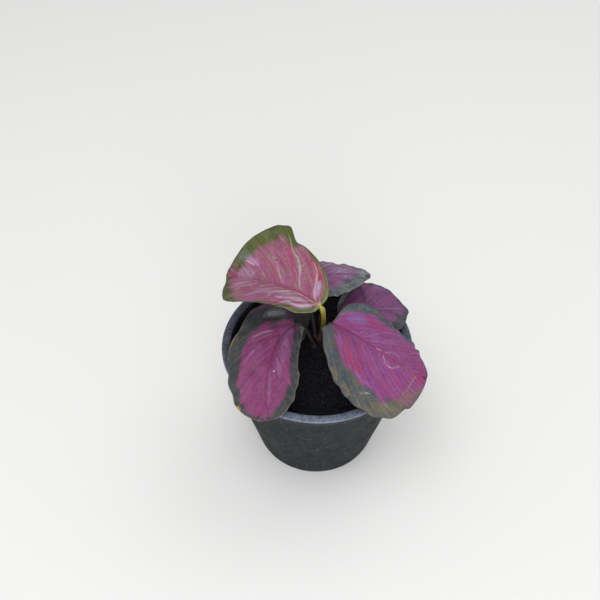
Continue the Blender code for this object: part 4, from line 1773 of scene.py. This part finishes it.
@dataclass(frozen=True)
class Studio:
    """A plain pale floor, soft lights and the photograph's camera.

    Lengths are in metres, and the sensor's width in millimetres. Each light is a softbox's name,
    place and power. The camera was fitted to the pot's rim and base in the photograph.
    """

    camera_place: Triple = (-0.009, -0.273, 0.409)
    camera_pitch: float = 47.77
    focal_pixels: float = 823.3
    image_pixels: float = 600.0
    sensor: float = 36.0
    nearest: float = 0.01
    floor_colour: str = "#e9e9e8"
    floor_size: float = 12.0
    lights: tuple[tuple[str, Triple, float], ...] = (
        ("key_softbox", (-0.25, -0.35, 1.25), 6.0),
        ("back_softbox", (0.5, 0.5, 1.1), 2.5),
        ("front_softbox", (0.15, -1.2, 0.6), 7.5),
    )
    light_size: float = 0.9
    light_target: Triple = (0.0, 0.0, 0.07)

    def build(self) -> None:
        """Make the floor, the lights, the surroundings and the camera."""
        half = self.floor_size / 2
        mesh = bpy.data.meshes.new("studio_floor")
        corners = [(-half, -half, 0.0), (half, -half, 0.0), (half, half, 0.0), (-half, half, 0.0)]
        mesh.from_pydata(corners, [], [(0, 1, 2, 3)])
        # Matt paper scatters nearly all its light, so the floor shows soft shadows and no gloss.
        made, tree, shader = new_material("pale_paper_backdrop")
        add = partial(add_node, tree)
        place = add("ShaderNodeTexCoord", output="Object")
        grain = add("ShaderNodeTexNoise", {"Vector": place, "Scale": 900.0, "Detail": 2.0})
        bump = add("ShaderNodeBump", {"Strength": 0.05, "Distance": 0.0001, "Height": grain})
        feed(shader, {"Base Color": linear(self.floor_colour), "Normal": bump})
        feed(shader, {"Roughness": 0.9, "Specular IOR Level": 0.1})
        mesh.materials.append(made)
        floor = bpy.data.objects.new("studio_floor", mesh)
        bpy.context.scene.collection.objects.link(floor)
        for light in self.lights:
            self.add_light(*light)
        self.surround()
        self.add_camera()

    def add_light(self, name: str, place: Triple, power: float) -> None:
        """Hang a square soft light that points at the plant.

        Args:
            name: The light's name.
            place: Where it hangs.
            power: Its power in watts.
        """
        data = bpy.data.lights.new(name, "AREA")
        data.shape = "SQUARE"
        data.size = self.light_size
        data.energy = power
        light = bpy.data.objects.new(name, data)
        light.location = place
        way = Vector(self.light_target) - Vector(place)
        light.rotation_euler = way.to_track_quat("-Z", "Y").to_euler()
        bpy.context.scene.collection.objects.link(light)

    def surround(self) -> None:
        """Light the scene evenly from pale surroundings that are brightest at the horizon."""
        world = bpy.data.worlds.new("studio_surroundings")
        world.use_nodes = True
        tree = world.node_tree
        place = add_node(tree, "ShaderNodeTexCoord", output="Generated")
        height = add_node(tree, "ShaderNodeSeparateXYZ", {"Vector": place}, output="Z")
        level = add_node(tree, RANGE, {"Value": height, "To Min": 0.8, "To Max": 0.45})
        feed(tree.nodes["Background"], {"Color": (1.0, 1.0, 1.0, 1.0), "Strength": level})
        bpy.context.scene.world = world

    def add_camera(self) -> None:
        """Set up the camera that sees what the photograph shows."""
        data = bpy.data.cameras.new("camera")
        data.sensor_width = self.sensor
        data.lens = self.focal_pixels / self.image_pixels * self.sensor
        data.clip_start = self.nearest
        camera = bpy.data.objects.new("camera", data)
        camera.location = self.camera_place
        camera.rotation_euler = (math.radians(90 - self.camera_pitch), 0.0, 0.0)
        bpy.context.scene.collection.objects.link(camera)
        bpy.context.scene.camera = camera


PINK_SKIN = LeafSkin(
    name="young_pink_leaf",
    centre=Tone("#96547a", "#8a3f62", "#ab7a92", "#84706c", "#8f5064"),
    margin=Tone("#4b5228", "#363e1c", "#626b3c", "#626a4a", "#585a26"),
    rim="#3a4014",
    midrib="#9c2a5c",
    cream="#b4ac96",
    # dark here is partly the margin's olive and dark spots, and partly painted shade on the far margin.
    dark="#39411f",
    softness=1.6,
    green="#566426",
    brown="#68736c",
    midrib_start=0.02,
    midrib_end=0.48,
    streakiness=0.45,
)
MAGENTA_SKIN = LeafSkin(
    name="magenta_leaf",
    centre=Tone("#80396a", "#702b58", "#8c4c80", "#7a4a6a", "#843764"),
    margin=Tone("#363b3d", "#282c2e", "#4a4f52", "#4e4d47", "#3a3c3a"),
    rim="#7d756a",
    midrib="#7c2244",
    rose="#6a3463",
    # Among these mark colours, cream is a painted highlight at the base corner, green is the margin's grey
    # lightened as painted light, lilac is partly the leaf's lilac and partly painted light on shaded parts,
    # and pale is partly pale streaks and partly a painted highlight on the rolled lobe.
    cream="#6e7064",
    green="#565b5d",
    lilac="#966a98",
    pale="#b7b0b2",
    brown="#a8884e",
    feather=1.0,
    softness=0.9,
    midrib_strength=0.55,
)
BLUSH_SKIN = LeafSkin(
    name="magenta_leaf_with_blue_margin",
    centre=Tone("#843e74", "#763070", "#8d5292", "#865080", "#8c3a66"),
    margin=Tone("#49525a", "#384046", "#66717a", "#66604f", "#4d524c"),
    rim="#4a4640",
    midrib="#84203e",
    green="#7f8050",
    brown="#6f6453",
    # lilac here is partly the leaf's lilac and partly a painted sheen.
    lilac="#83609a",
    feather=0.9,
    softness=0.6,
    streakiness=0.6,
)
PLUM_SKIN = LeafSkin(
    name="plum_leaf",
    centre=Tone("#723e6c", "#5c2d5b", "#87588a", "#704a70", "#833a70"),
    margin=Tone("#3c3f49", "#2b2c35", "#505561", "#50514f", "#404247"),
    rim="#545660",
    midrib="#5f6058",
    # cream here is painted light on the shaded left margin.
    cream="#7b7c86",
    green="#4a5a40",
    lilac="#83608a",
    feather=1.0,
    streakiness=0.45,
)
LILAC_SKIN = LeafSkin(
    name="lilac_leaf",
    centre=Tone("#7c4f76", "#6a3d64", "#957394", "#856a8a", "#864a76"),
    margin=Tone("#565b62", "#42464d", "#767c80", "#6c6d68", "#5e6264"),
    rim="#7c8084",
    midrib="#6a3c62",
    cream="#8f9597",
    lilac="#8d84a4",
    pale="#a48fa8",
    feather=1.3,
    streakiness=0.5,
)
DARK_SKIN = LeafSkin(
    name="old_dark_leaf",
    centre=Tone("#38323a", "#2c282e", "#454048", "#3e3b40", "#363138"),
    margin=Tone("#3a3b41", "#2d2e33", "#48494e", "#424347", "#393a3f"),
    rim="#45464b",
    midrib="#2c2024",
    feather=1.0,
)
GREEN_STALK = StalkFinish("yellow_green_stalk", "#3c3020", "#98893a", "#aca945", foot_share=0.5)
BROWN_STALK = StalkFinish("brown_purple_stalk", "#1c1617", "#282125", "#3a3036")
SHEATH = StalkFinish("brown_sheath", "#141112", "#221b19", "#382c20", foot_share=0.7)

YOUNG_MARKS = streaks(
    green=(
        (1.1, 0.8, (0.42, -0.8), (0.48, -0.9), (0.58, -0.97)),
        (1.0, 0.6, (0.58, -0.56), (0.65, -0.7), (0.72, -0.84)),
        (0.9, 0.5, (0.76, -0.52), (0.84, -0.66), (0.9, -0.8)),
        (1.5, 1.1, (0.005, 0.4), (0.06, 0.7), (0.14, 0.9), (0.26, 1.0)),
        (1.3, 1.1, (0.01, -0.45), (0.05, -0.8), (0.1, -0.95), (0.2, -1.0)),
        (0.4, 0.9, (0.56, -0.38), (0.62, -0.48), (0.69, -0.6), (0.74, -0.72)),
    ),
    rose=(
        (1.2, 0.95, (0.14, -0.68), (0.17, -0.81), (0.27, -0.87)),
        (1.1, 0.5, (0.2, -0.5), (0.25, -0.7), (0.3, -0.82)),
        (1.2, 0.7, (0.37, -0.4), (0.41, -0.6), (0.48, -0.76)),
        (1.2, 0.5, (0.5, -0.05), (0.54, -0.2), (0.62, -0.36)),
        (1.8, 0.5, (0.86, 0.0), (0.99, 0.05)),
        (0.7, 0.6, (0.06, 0.34), (0.14, 0.44), (0.24, 0.6), (0.34, 0.84)),
    ),
    lilac=(
        (5.0, 0.5, (0.74, -0.12), (0.9, -0.02)),
        (3.0, 0.35, (0.7, 0.3), (0.86, 0.4)),
        (1.6, 0.7, (0.7, -0.26), (0.79, -0.4), (0.86, -0.5)),
        (2.6, 0.5, (0.3, 0.24), (0.42, 0.34), (0.54, 0.5)),
        (1.7, 0.95, (0.09, -0.22), (0.12, -0.45), (0.14, -0.7)),
        (2.0, 0.7, (0.12, 0.26), (0.24, 0.38), (0.37, 0.58)),
        (1.7, 0.95, (0.07, 0.44), (0.15, 0.62), (0.28, 0.76)),
        (2.0, 0.6, (0.44, 0.32), (0.54, 0.48), (0.62, 0.74)),
        (1.8, 0.55, (0.64, 0.2), (0.74, 0.34), (0.82, 0.62)),
    ),
    cream=(
        (0.47, 0.77, (0.25, -0.06), (0.3, -0.38), (0.33, -0.56), (0.37, -0.69), (0.44, -0.8), (0.52, -0.87)),
        (0.29, 0.51, (0.31, -0.46), (0.31, -0.6), (0.29, -0.72)),
        (0.29, 0.68, (0.42, -0.04), (0.48, -0.18), (0.55, -0.36), (0.6, -0.45)),
        (0.36, 0.51, (0.61, -0.05), (0.66, -0.14)),
        (0.43, 0.85, (0.05, -0.04), (0.11, -0.22), (0.15, -0.5), (0.19, -0.76), (0.25, -0.86)),
        (0.4, 0.94, (0.02, 0.08), (0.14, 0.06), (0.26, 0.04), (0.34, 0.16), (0.4, 0.38), (0.44, 0.76)),
        (0.6, 0.9, (0.03, 0.12), (0.1, 0.11), (0.2, 0.08), (0.28, 0.1)),
        (1.6, 0.4, (0.22, 0.12), (0.32, 0.24), (0.4, 0.4)),
        (0.54, 0.85, (0.16, 0.3), (0.21, 0.46), (0.3, 0.78)),
        (0.29, 0.68, (0.03, 0.2), (0.1, 0.4), (0.22, 0.8)),
        (1.6, 1.1, (0.0, 0.0), (0.04, 0.03)),
        (0.65, 0.3, (0.01, -0.6), (0.06, -0.93), (0.15, -0.99)),
        # A painted highlight along the near edge.
        (0.35, 0.8, (0.03, 0.98), (0.1, 1.0), (0.2, 1.0), (0.28, 1.0)),
        (0.3, 0.25, (0.02, -1.0), (0.08, -1.0), (0.14, -1.0)),
        (1.0, 0.5, (0.0, 0.3), (0.015, 0.6), (0.04, 0.85)),
    ),
    brown=(
        (2.4, 0.6, (0.8, -0.52), (0.87, -0.58), (0.94, -0.62)),
    ),
    pale=(
        (0.45, 0.9, (0.75, -0.26), (0.8, -0.34), (0.86, -0.42)),
        (0.6, 0.6, (0.16, 0.2), (0.26, 0.42), (0.36, 0.62)),
        (0.5, 0.6, (0.3, 0.14), (0.38, 0.26), (0.46, 0.5)),
        (0.45, 0.5, (0.36, 0.08), (0.46, 0.2), (0.54, 0.42)),
        (0.9, 0.65, (0.09, 0.5), (0.15, 0.62), (0.24, 0.74)),
        (0.45, 0.8, (0.48, 0.03), (0.54, 0.14), (0.6, 0.44)),
        (0.45, 0.7, (0.62, 0.1), (0.73, 0.13), (0.85, 0.38)),
    ),
    dark=(
        (1.7, 0.75, (0.74, 0.98), (0.87, 0.93), (0.97, 0.55)),
        # Partly the far margin's own olive, partly painted shade that darkens the sheen there.
        (3.4, 0.45, (0.4, -0.93), (0.48, -0.96), (0.58, -0.95), (0.66, -0.94)),
        (0.55, 0.9, (0.54, -0.37), (0.56, -0.39)),
        (0.4, 0.7, (0.43, -0.4), (0.44, -0.41)),
        (0.3, 0.6, (0.6, -0.62), (0.61, -0.64)),
    ),
)
FRONT_LEFT_MARKS = streaks(
    green=(
        # The margin's grey laid over the lobe, lightened as painted light where the lobe lies in shade.
        (2.8, 2.0, (0.04, -0.6), (0.1, -0.6), (0.17, -0.64)),
    ),
    rose=(
        (2.6, 1.0, (0.06, -0.84), (0.02, -0.9), (0.0, -1.0)),
        (0.55, 0.9, (0.24, -0.95), (0.16, -0.84), (0.1, -0.79), (0.01, -0.8)),
    ),
    lilac=(
        # Painted light: these two lighten shaded parts of the middle near the base.
        (2.6, 0.8, (0.06, 0.1), (0.16, 0.2), (0.28, 0.36)),
        (3.4, 0.4, (0.22, 0.36), (0.34, 0.44), (0.46, 0.46)),
        (1.2, 0.55, (0.42, 0.24), (0.52, 0.34), (0.62, 0.42)),
        (1.0, 0.45, (0.55, 0.06), (0.75, 0.14), (0.88, 0.2)),
        (1.0, 0.35, (0.3, -0.3), (0.42, -0.46), (0.54, -0.6)),
    ),
    cream=(
        # A painted highlight on the corner at the blade's base.
        (1.0, 0.6, (0.01, 0.8), (0.05, 0.9), (0.12, 0.9)),
    ),
    brown=(
        (0.8, 1.3, (0.89, -0.97), (0.92, -0.93)),
        (0.6, 0.8, (0.36, -1.0), (0.41, -1.0)),
    ),
    pale=(
        (0.32, 0.5, (0.19, -0.2), (0.25, -0.42), (0.32, -0.64)),
        (0.28, 0.4, (0.22, -0.2), (0.28, -0.38), (0.34, -0.56)),
        (0.6, 1.3, (0.55, 0.19), (0.56, 0.21)),
        # A painted highlight: the gloss on the rolled lobe.
        (1.5, 0.4, (0.155, -0.62), (0.12, -0.57), (0.08, -0.51)),
    ),
    dark=(
        (1.2, 0.8, (0.2, -0.58), (0.16, -0.49), (0.13, -0.42), (0.1, -0.38)),
    ),
)
FRONT_RIGHT_MARKS = streaks(
    green=(
        (1.2, 0.5, (0.76, -0.8), (0.84, -0.8), (0.88, -0.84)),
        (0.4, 0.7, (0.93, -0.06), (0.91, -0.2), (0.9, -0.36), (0.87, -0.56)),
        (0.3, 0.8, (0.93, -0.46), (0.96, -0.56), (0.98, -0.68)),
        (0.3, 0.5, (0.8, 0.02), (0.88, 0.02), (0.95, 0.1)),
    ),
    rose=(
        (0.7, 0.8, (0.17, -0.1), (0.3, -0.38), (0.41, -0.56), (0.58, -0.68)),
        (0.7, 0.7, (0.29, -0.03), (0.4, -0.26), (0.52, -0.54)),
        (2.2, 0.55, (0.29, -0.36), (0.4, -0.47), (0.52, -0.54)),
        (2.2, 0.45, (0.24, 0.52), (0.35, 0.62), (0.46, 0.62)),
        (1.0, 0.8, (0.96, -0.3), (0.985, 0.0), (0.96, 0.8)),
    ),
    lilac=(
        # A painted sheen: the satin gloss near the base of the blade.
        (3.2, 0.8, (0.1, 0.36), (0.17, 0.44), (0.24, 0.44)),
        (1.3, 0.6, (0.46, -0.6), (0.54, -0.62), (0.65, -0.6)),
        (1.2, 0.6, (0.12, -0.26), (0.18, -0.42), (0.27, -0.54)),
        (1.2, 0.45, (0.4, 0.1), (0.52, 0.36), (0.62, 0.7)),
    ),
    brown=(
        (1.6, 0.9, (0.31, -0.98), (0.36, -0.93), (0.41, -0.95)),
        (1.8, 0.9, (0.45, -0.95), (0.5, -0.91), (0.54, -0.97)),
        (2.2, 0.7, (0.6, -1.0), (0.7, -0.98), (0.78, -1.0)),
        (3.0, 0.7, (0.7, -0.84), (0.8, -0.86), (0.9, -0.9)),
        (3.0, 0.7, (0.82, -0.74), (0.9, -0.72), (0.99, -0.56)),
    ),
    pale=(
        # A painted glint beside the midrib.
        (0.4, 1.2, (0.48, 0.01), (0.54, 0.01)),
        (0.22, 0.5, (0.57, 0.0), (0.58, 0.06), (0.62, 0.15), (0.67, 0.2), (0.71, 0.17), (0.74, 0.08)),
        (0.24, 0.8, (0.75, -0.03), (0.73, -0.1), (0.69, -0.15), (0.64, -0.14), (0.59, -0.07), (0.57, 0.0)),
        (0.22, 0.9, (0.79, 0.54), (0.83, 0.68), (0.86, 0.78), (0.91, 0.82)),
        (0.4, 0.25, (0.36, 0.2), (0.42, 0.5), (0.5, 0.82)),
        # A painted glint near the front margin.
        (0.35, 0.6, (0.6, -0.8), (0.63, -0.74), (0.66, -0.72)),
    ),
    dark=(
        (0.8, 1.0, (0.99, -0.02), (1.0, 0.02)),
    ),
)
BACK_RIGHT_MARKS = streaks(
    green=(
        (0.5, 1.0, (0.465, 0.41), (0.475, 0.4)),
        (0.5, 1.0, (0.525, 0.29), (0.535, 0.28)),
    ),
    lilac=(
        (1.5, 0.5, (0.5, 0.78), (0.62, 0.86), (0.76, 0.9)),
    ),
    cream=(
        # Painted light on the left margin, which lies in shade.
        (2.2, 0.8, (0.07, 0.85), (0.13, 0.85), (0.2, 0.95)),
    ),
    pale=(
        (0.28, 0.35, (0.65, 0.02), (0.8, 0.03), (0.94, 0.03)),
        (0.3, 0.25, (0.45, 0.5), (0.6, 0.7), (0.75, 0.86)),
    ),
    dark=(
        # Painted shadow: the dark crease where the back leaf's tip shades this blade.
        (1.4, 0.5, (0.38, 1.0), (0.41, 0.6), (0.42, 0.3)),
    ),
)
BACK_MARKS = streaks(
    lilac=(
        (1.2, 1.0, (0.59, -0.19), (0.63, -0.19)),
        (1.4, 0.6, (0.3, 0.2), (0.5, 0.2), (0.7, 0.05)),
    ),
    cream=(
        (2.4, 0.7, (0.9, 0.5), (0.93, 0.1), (0.95, -0.3)),
    ),
    pale=(
        (0.5, 0.6, (0.2, 0.7), (0.36, 0.86), (0.5, 0.92)),
        (0.35, 0.6, (0.4, 0.16), (0.6, 0.06), (0.8, -0.06)),
        (0.6, 0.7, (0.28, 0.6), (0.44, 0.76), (0.62, 0.8)),
        (0.5, 0.8, (0.32, 0.44), (0.55, 0.34), (0.82, 0.12)),
        (0.5, 0.6, (0.55, 0.2), (0.64, 0.36), (0.74, 0.46)),
        (0.4, 0.6, (0.18, 0.06), (0.32, 0.0), (0.48, -0.12)),
        (0.45, 0.5, (0.48, -0.62), (0.6, -0.64), (0.74, -0.58)),
    ),
    dark=(
        (1.3, 1.2, (0.97, 0.0), (1.0, 0.0)),
    ),
)

YOUNG_LEAF = Leaf(
    name="young_leaf",
    skin=PINK_SKIN,
    slot="pink_blade",
    stalk=GREEN_STALK,
    stalk_slot="green_petiole",
    base=(1.5, 5.0, 98.0),
    length=55.5,
    widths=(26.0, 28.5),
    heading=(144.0, 153.0, 150.0),
    pitch=(20.0, -7.0, -13.0),
    roll=(-7.0, 0.0, -10.0),
    left_fold=(16.0, 18.0, 4.0),
    right_fold=(43.0, 36.0, 37.0),
    left_curl=(-1.0, 2.0, -5.0),
    right_curl=(3.0, -1.0, -4.0),
    egg=1.23,
    square=1.8,
    lobes=(2.0, 2.5),
    sweep=0.01,
    left_margin=(0.5, -1.0, -1.0, 0.5),
    right_margin=(0.0, -2.0, 2.0, 0.0),
    nicks=(
        (1, 0.14, 0.05, 1.5),
        (1, 0.23, 0.04, -1.0),
        (-1, 0.51, 0.05, 2.5),
        (-1, 0.42, 0.04, -1.2),
        (1, 0.97, 0.015, -1.2),
        (-1, 0.985, 0.012, 1.0),
    ),
    crown_angle=0.0,
    crown_offset=0.0,
    crown_level=73.0,
    petiole_radius=1.45,
    rise=(3.4, 1.0, 9.0),
    reach=1.2,
    left_band=(2.6, 3.4, 1.8, 1.2, 0.9, 0.8, 1.2, 3.2, 4.6, 3.6, 1.4),
    vein_slope=(0.6, 1.5),
    vein_bend=0.012,
    crinkle=0.1,
    right_band=(2.2, 1.9, 1.8, 1.7, 1.5, 4.8, 7.2, 7.6, 7.4, 6.0, 0.6),
    marks=YOUNG_MARKS,
    seed=3,
)
FRONT_LEFT_LEAF = Leaf(
    name="front_left_leaf",
    skin=MAGENTA_SKIN,
    slot="magenta_blade",
    stalk=BROWN_STALK,
    stalk_slot="brown_petiole",
    base=(-11.2, 5.0, 83.5),
    length=59.5,
    widths=(15.5, 21.0),
    heading=(-144.0, -99.0, -101.0),
    pitch=(4.0, -8.0, -12.0),
    roll=(4.0, 2.0, 3.0),
    left_fold=(24.0, 14.0, 3.0),
    right_fold=(21.0, 12.0, -4.0),
    left_curl=(0.0, -2.0, -6.0),
    right_curl=(1.0, 3.0, 2.0),
    egg=0.98,
    square=2.3,
    lobes=(2.6, 9.0),
    sweep=0.03,
    left_margin=(0.0, -0.5, 1.0, 1.0),
    right_margin=(2.0, 0.5, -1.5, -2.0),
    nicks=((-1, 0.3, 0.05, -1.5), (-1, 0.12, 0.1, 3.5), (-1, 0.015, 0.03, 5.0), (1, 0.03, 0.03, 1.5)),
    point=0.5,
    rolls=((-1, 0.1, 0.14, 190.0, 0.74), (-1, 0.02, 0.05, 50.0, 0.5)),
    wave=0.5,
    crown_angle=225.0,
    crown_level=70.0,
    petiole_radius=1.2,
    rise=(-2.5, 0.0, 4.0),
    reach=5.0,
    left_band=(7.0, 5.0, 4.7, 4.2, 4.0, 3.9, 4.6, 4.4, 4.8, 3.9, 1.0),
    vein_slope=(1.2, 2.2),
    right_band=(0.3, 7.6, 11.0, 7.0, 6.7, 6.1, 5.1, 4.5, 4.1, 3.1, 1.0),
    marks=FRONT_LEFT_MARKS,
    seed=5,
)
FRONT_RIGHT_LEAF = Leaf(
    name="front_right_leaf",
    skin=BLUSH_SKIN,
    slot="magenta_blade",
    stalk=BROWN_STALK,
    stalk_slot="brown_petiole",
    base=(7.5, 1.0, 89.0),
    length=54.0,
    widths=(22.0, 32.5),
    heading=(-26.0, -35.0, -11.0),
    pitch=(-1.0, -11.0, -27.0),
    roll=(-6.0, -3.0, 3.0),
    left_fold=(23.0, -4.0, -4.0),
    right_fold=(35.0, 4.0, -5.0),
    left_curl=(-1.0, -13.0, -12.0),
    right_curl=(0.0, -10.0, -15.0),
    egg=1.06,
    square=2.75,
    lobes=(0.0, 3.0),
    sweep=0.01,
    left_margin=(2.5, -1.5, 0.5, -0.5),
    right_margin=(-0.5, 0.0, 1.0, 0.5),
    nicks=((-1, 0.92, 0.02, -2.0), (-1, 0.1, 0.06, -1.4)),
    ragged=0.4,
    wave=0.6,
    crown_angle=-50.0,
    crown_level=71.0,
    petiole_radius=1.3,
    rise=(0.5, -0.5, 6.0),
    reach=2.0,
    left_band=(2.2, 3.6, 5.0, 3.0, 2.2, 2.2, 2.4, 3.0, 2.2, 1.4, 0.3),
    vein_slope=(1.1, 1.8),
    crinkle=0.5,
    right_band=(0.8, 6.4, 9.5, 9.6, 10.6, 10.5, 11.2, 10.0, 6.0, 2.6, 0.2),
    marks=FRONT_RIGHT_MARKS,
    seed=8,
)
BACK_RIGHT_LEAF = Leaf(
    name="back_right_leaf",
    skin=PLUM_SKIN,
    slot="plum_blade",
    stalk=BROWN_STALK,
    stalk_slot="brown_petiole",
    base=(12.1, 13.2, 79.2),
    length=37.0,
    widths=(17.0, 16.0),
    heading=(12.0, 12.0, 9.0),
    pitch=(16.0, -2.0, -23.0),
    roll=(1.0, 3.0, -1.0),
    left_fold=(12.0, 7.0, -4.0),
    right_fold=(10.0, 3.0, -1.0),
    left_curl=(2.0, 2.0, -2.0),
    right_curl=(0.0, -1.0, -1.0),
    egg=0.97,
    square=2.25,
    lobes=(0.5, 2.0),
    sweep=0.01,
    left_margin=(0.0, 1.0, 0.0, 0.0),
    right_margin=(0.0, 0.0, 0.5, 0.5),
    crown_angle=32.0,
    crown_level=70.5,
    petiole_radius=1.1,
    rise=(0.0, 0.5, 4.0),
    reach=5.0,
    left_band=(5.0, 3.4, 1.4, 1.2, 1.8, 1.8),
    right_band=(5.0, 5.0, 5.0, 5.5, 5.5, 2.0),
    marks=BACK_RIGHT_MARKS,
    stations=110,
    columns=45,
    seed=11,
)
BACK_LEAF = Leaf(
    name="back_leaf",
    skin=LILAC_SKIN,
    slot="plum_blade",
    stalk=BROWN_STALK,
    stalk_slot="brown_petiole",
    base=(-1.5, 22.0, 96.5),
    length=29.0,
    widths=(15.0, 13.5),
    heading=(33.0, 9.0, -10.0),
    pitch=(21.0, 0.0, -8.0),
    roll=(7.0, -2.0, -5.0),
    left_fold=(-1.0, -13.0, -18.0),
    right_fold=(-7.0, -4.0, -1.0),
    left_curl=(-9.0, -14.0, -22.0),
    right_curl=(-1.0, 1.0, 1.0),
    egg=0.85,
    square=2.3,
    lobes=(1.0, 1.0),
    sweep=-0.01,
    left_margin=(0.0, 0.5, 0.0, 1.0),
    right_margin=(0.0, 0.0, 0.0, -0.5),
    nicks=((1, 0.95, 0.05, 5.5),),
    crinkle=0.3,
    crown_angle=128.0,
    crown_level=71.5,
    petiole_radius=1.35,
    rise=(-0.5, 3.5, 9.0),
    reach=6.0,
    left_band=(1.0, 1.0, 1.0, 1.8, 4.5, 5.0),
    right_band=(2.0, 4.9, 6.4, 7.0, 7.0, 5.0),
    marks=BACK_MARKS,
    stations=100,
    columns=41,
    seed=13,
)
LOWER_LEAF = Leaf(
    name="lower_leaf",
    skin=DARK_SKIN,
    slot="dark_blade",
    stalk=BROWN_STALK,
    stalk_slot="brown_petiole",
    base=(-5.5, 10.5, 72.5),
    length=32.0,
    widths=(12.0, 13.0),
    heading=(168.0, 167.0, 171.0),
    pitch=(8.0, 1.0, -6.0),
    roll=(-2.0, 2.0, 1.0),
    left_fold=(5.0, 5.0, 5.0),
    right_fold=(14.0, 6.0, 6.0),
    left_curl=(0.0, 0.0, 0.0),
    right_curl=(1.0, -2.0, -2.0),
    egg=0.82,
    square=2.3,
    lobes=(1.0, 1.5),
    sweep=-0.01,
    left_margin=(0.0, 0.0, 0.0, 0.0),
    right_margin=(0.0, 0.0, 0.0, 0.0),
    crown_angle=180.0,
    crown_level=69.5,
    petiole_radius=0.95,
    rise=(-2.2, -0.2, 2.4),
    reach=2.0,
    left_band=(3.0, 4.0, 4.0, 4.0, 4.0, 2.0),
    right_band=(3.0, 4.0, 4.0, 4.0, 4.0, 2.0),
    stations=90,
    columns=37,
    seed=17,
)
LEAVES = (YOUNG_LEAF, FRONT_LEFT_LEAF, FRONT_RIGHT_LEAF, BACK_RIGHT_LEAF, BACK_LEAF, LOWER_LEAF)


def plant(crown: Crown) -> None:
    """Build every leaf with its petiole, and the sheaths that wrap them.

    Args:
        crown: The plant's foot.
    """
    growth = stalk_growth()
    for leaf in LEAVES:
        add_piece(leaf.name, leaf.build(), leaf.slot, leaf.name + "_blade")
        stalk = leaf.build_petiole(crown, growth)
        add_piece(leaf.name + "_stalk", stalk, leaf.stalk_slot, leaf.name + "_petiole")
    sheaths = crown.build(LEAVES, growth, SHEATH.material())
    add_piece("leaf_sheaths", sheaths, "crown_sheath", "crown")


def fill_pot(pot: Pot, soil: Soil) -> None:
    """Build the pot and the soil in it, with its crumbs and fibres.

    Args:
        pot: The pot.
        soil: The soil.
    """
    shell = pot.build(drain_growth(), PotPlastic().material())
    add_piece("nursery_pot", shell, "pot_plastic", "pot")
    body, top = soil.build(pot, SoilMix().material())
    add_piece("potting_mix", body, "soil_mix", "soil")
    add_piece("soil_crumbs", soil.strew_crumbs(pot, top), "soil_mix")
    add_piece("coir_fibres", soil.strew_fibres(pot, top), "soil_mix")


def main() -> None:
    logging.basicConfig(level=logging.INFO, format="%(message)s")
    bpy.context.scene.view_settings.view_transform = "Standard"
    Studio().build()
    fill_pot(Pot(), Soil())
    plant(Crown())


if __name__ == "__main__":
    main()
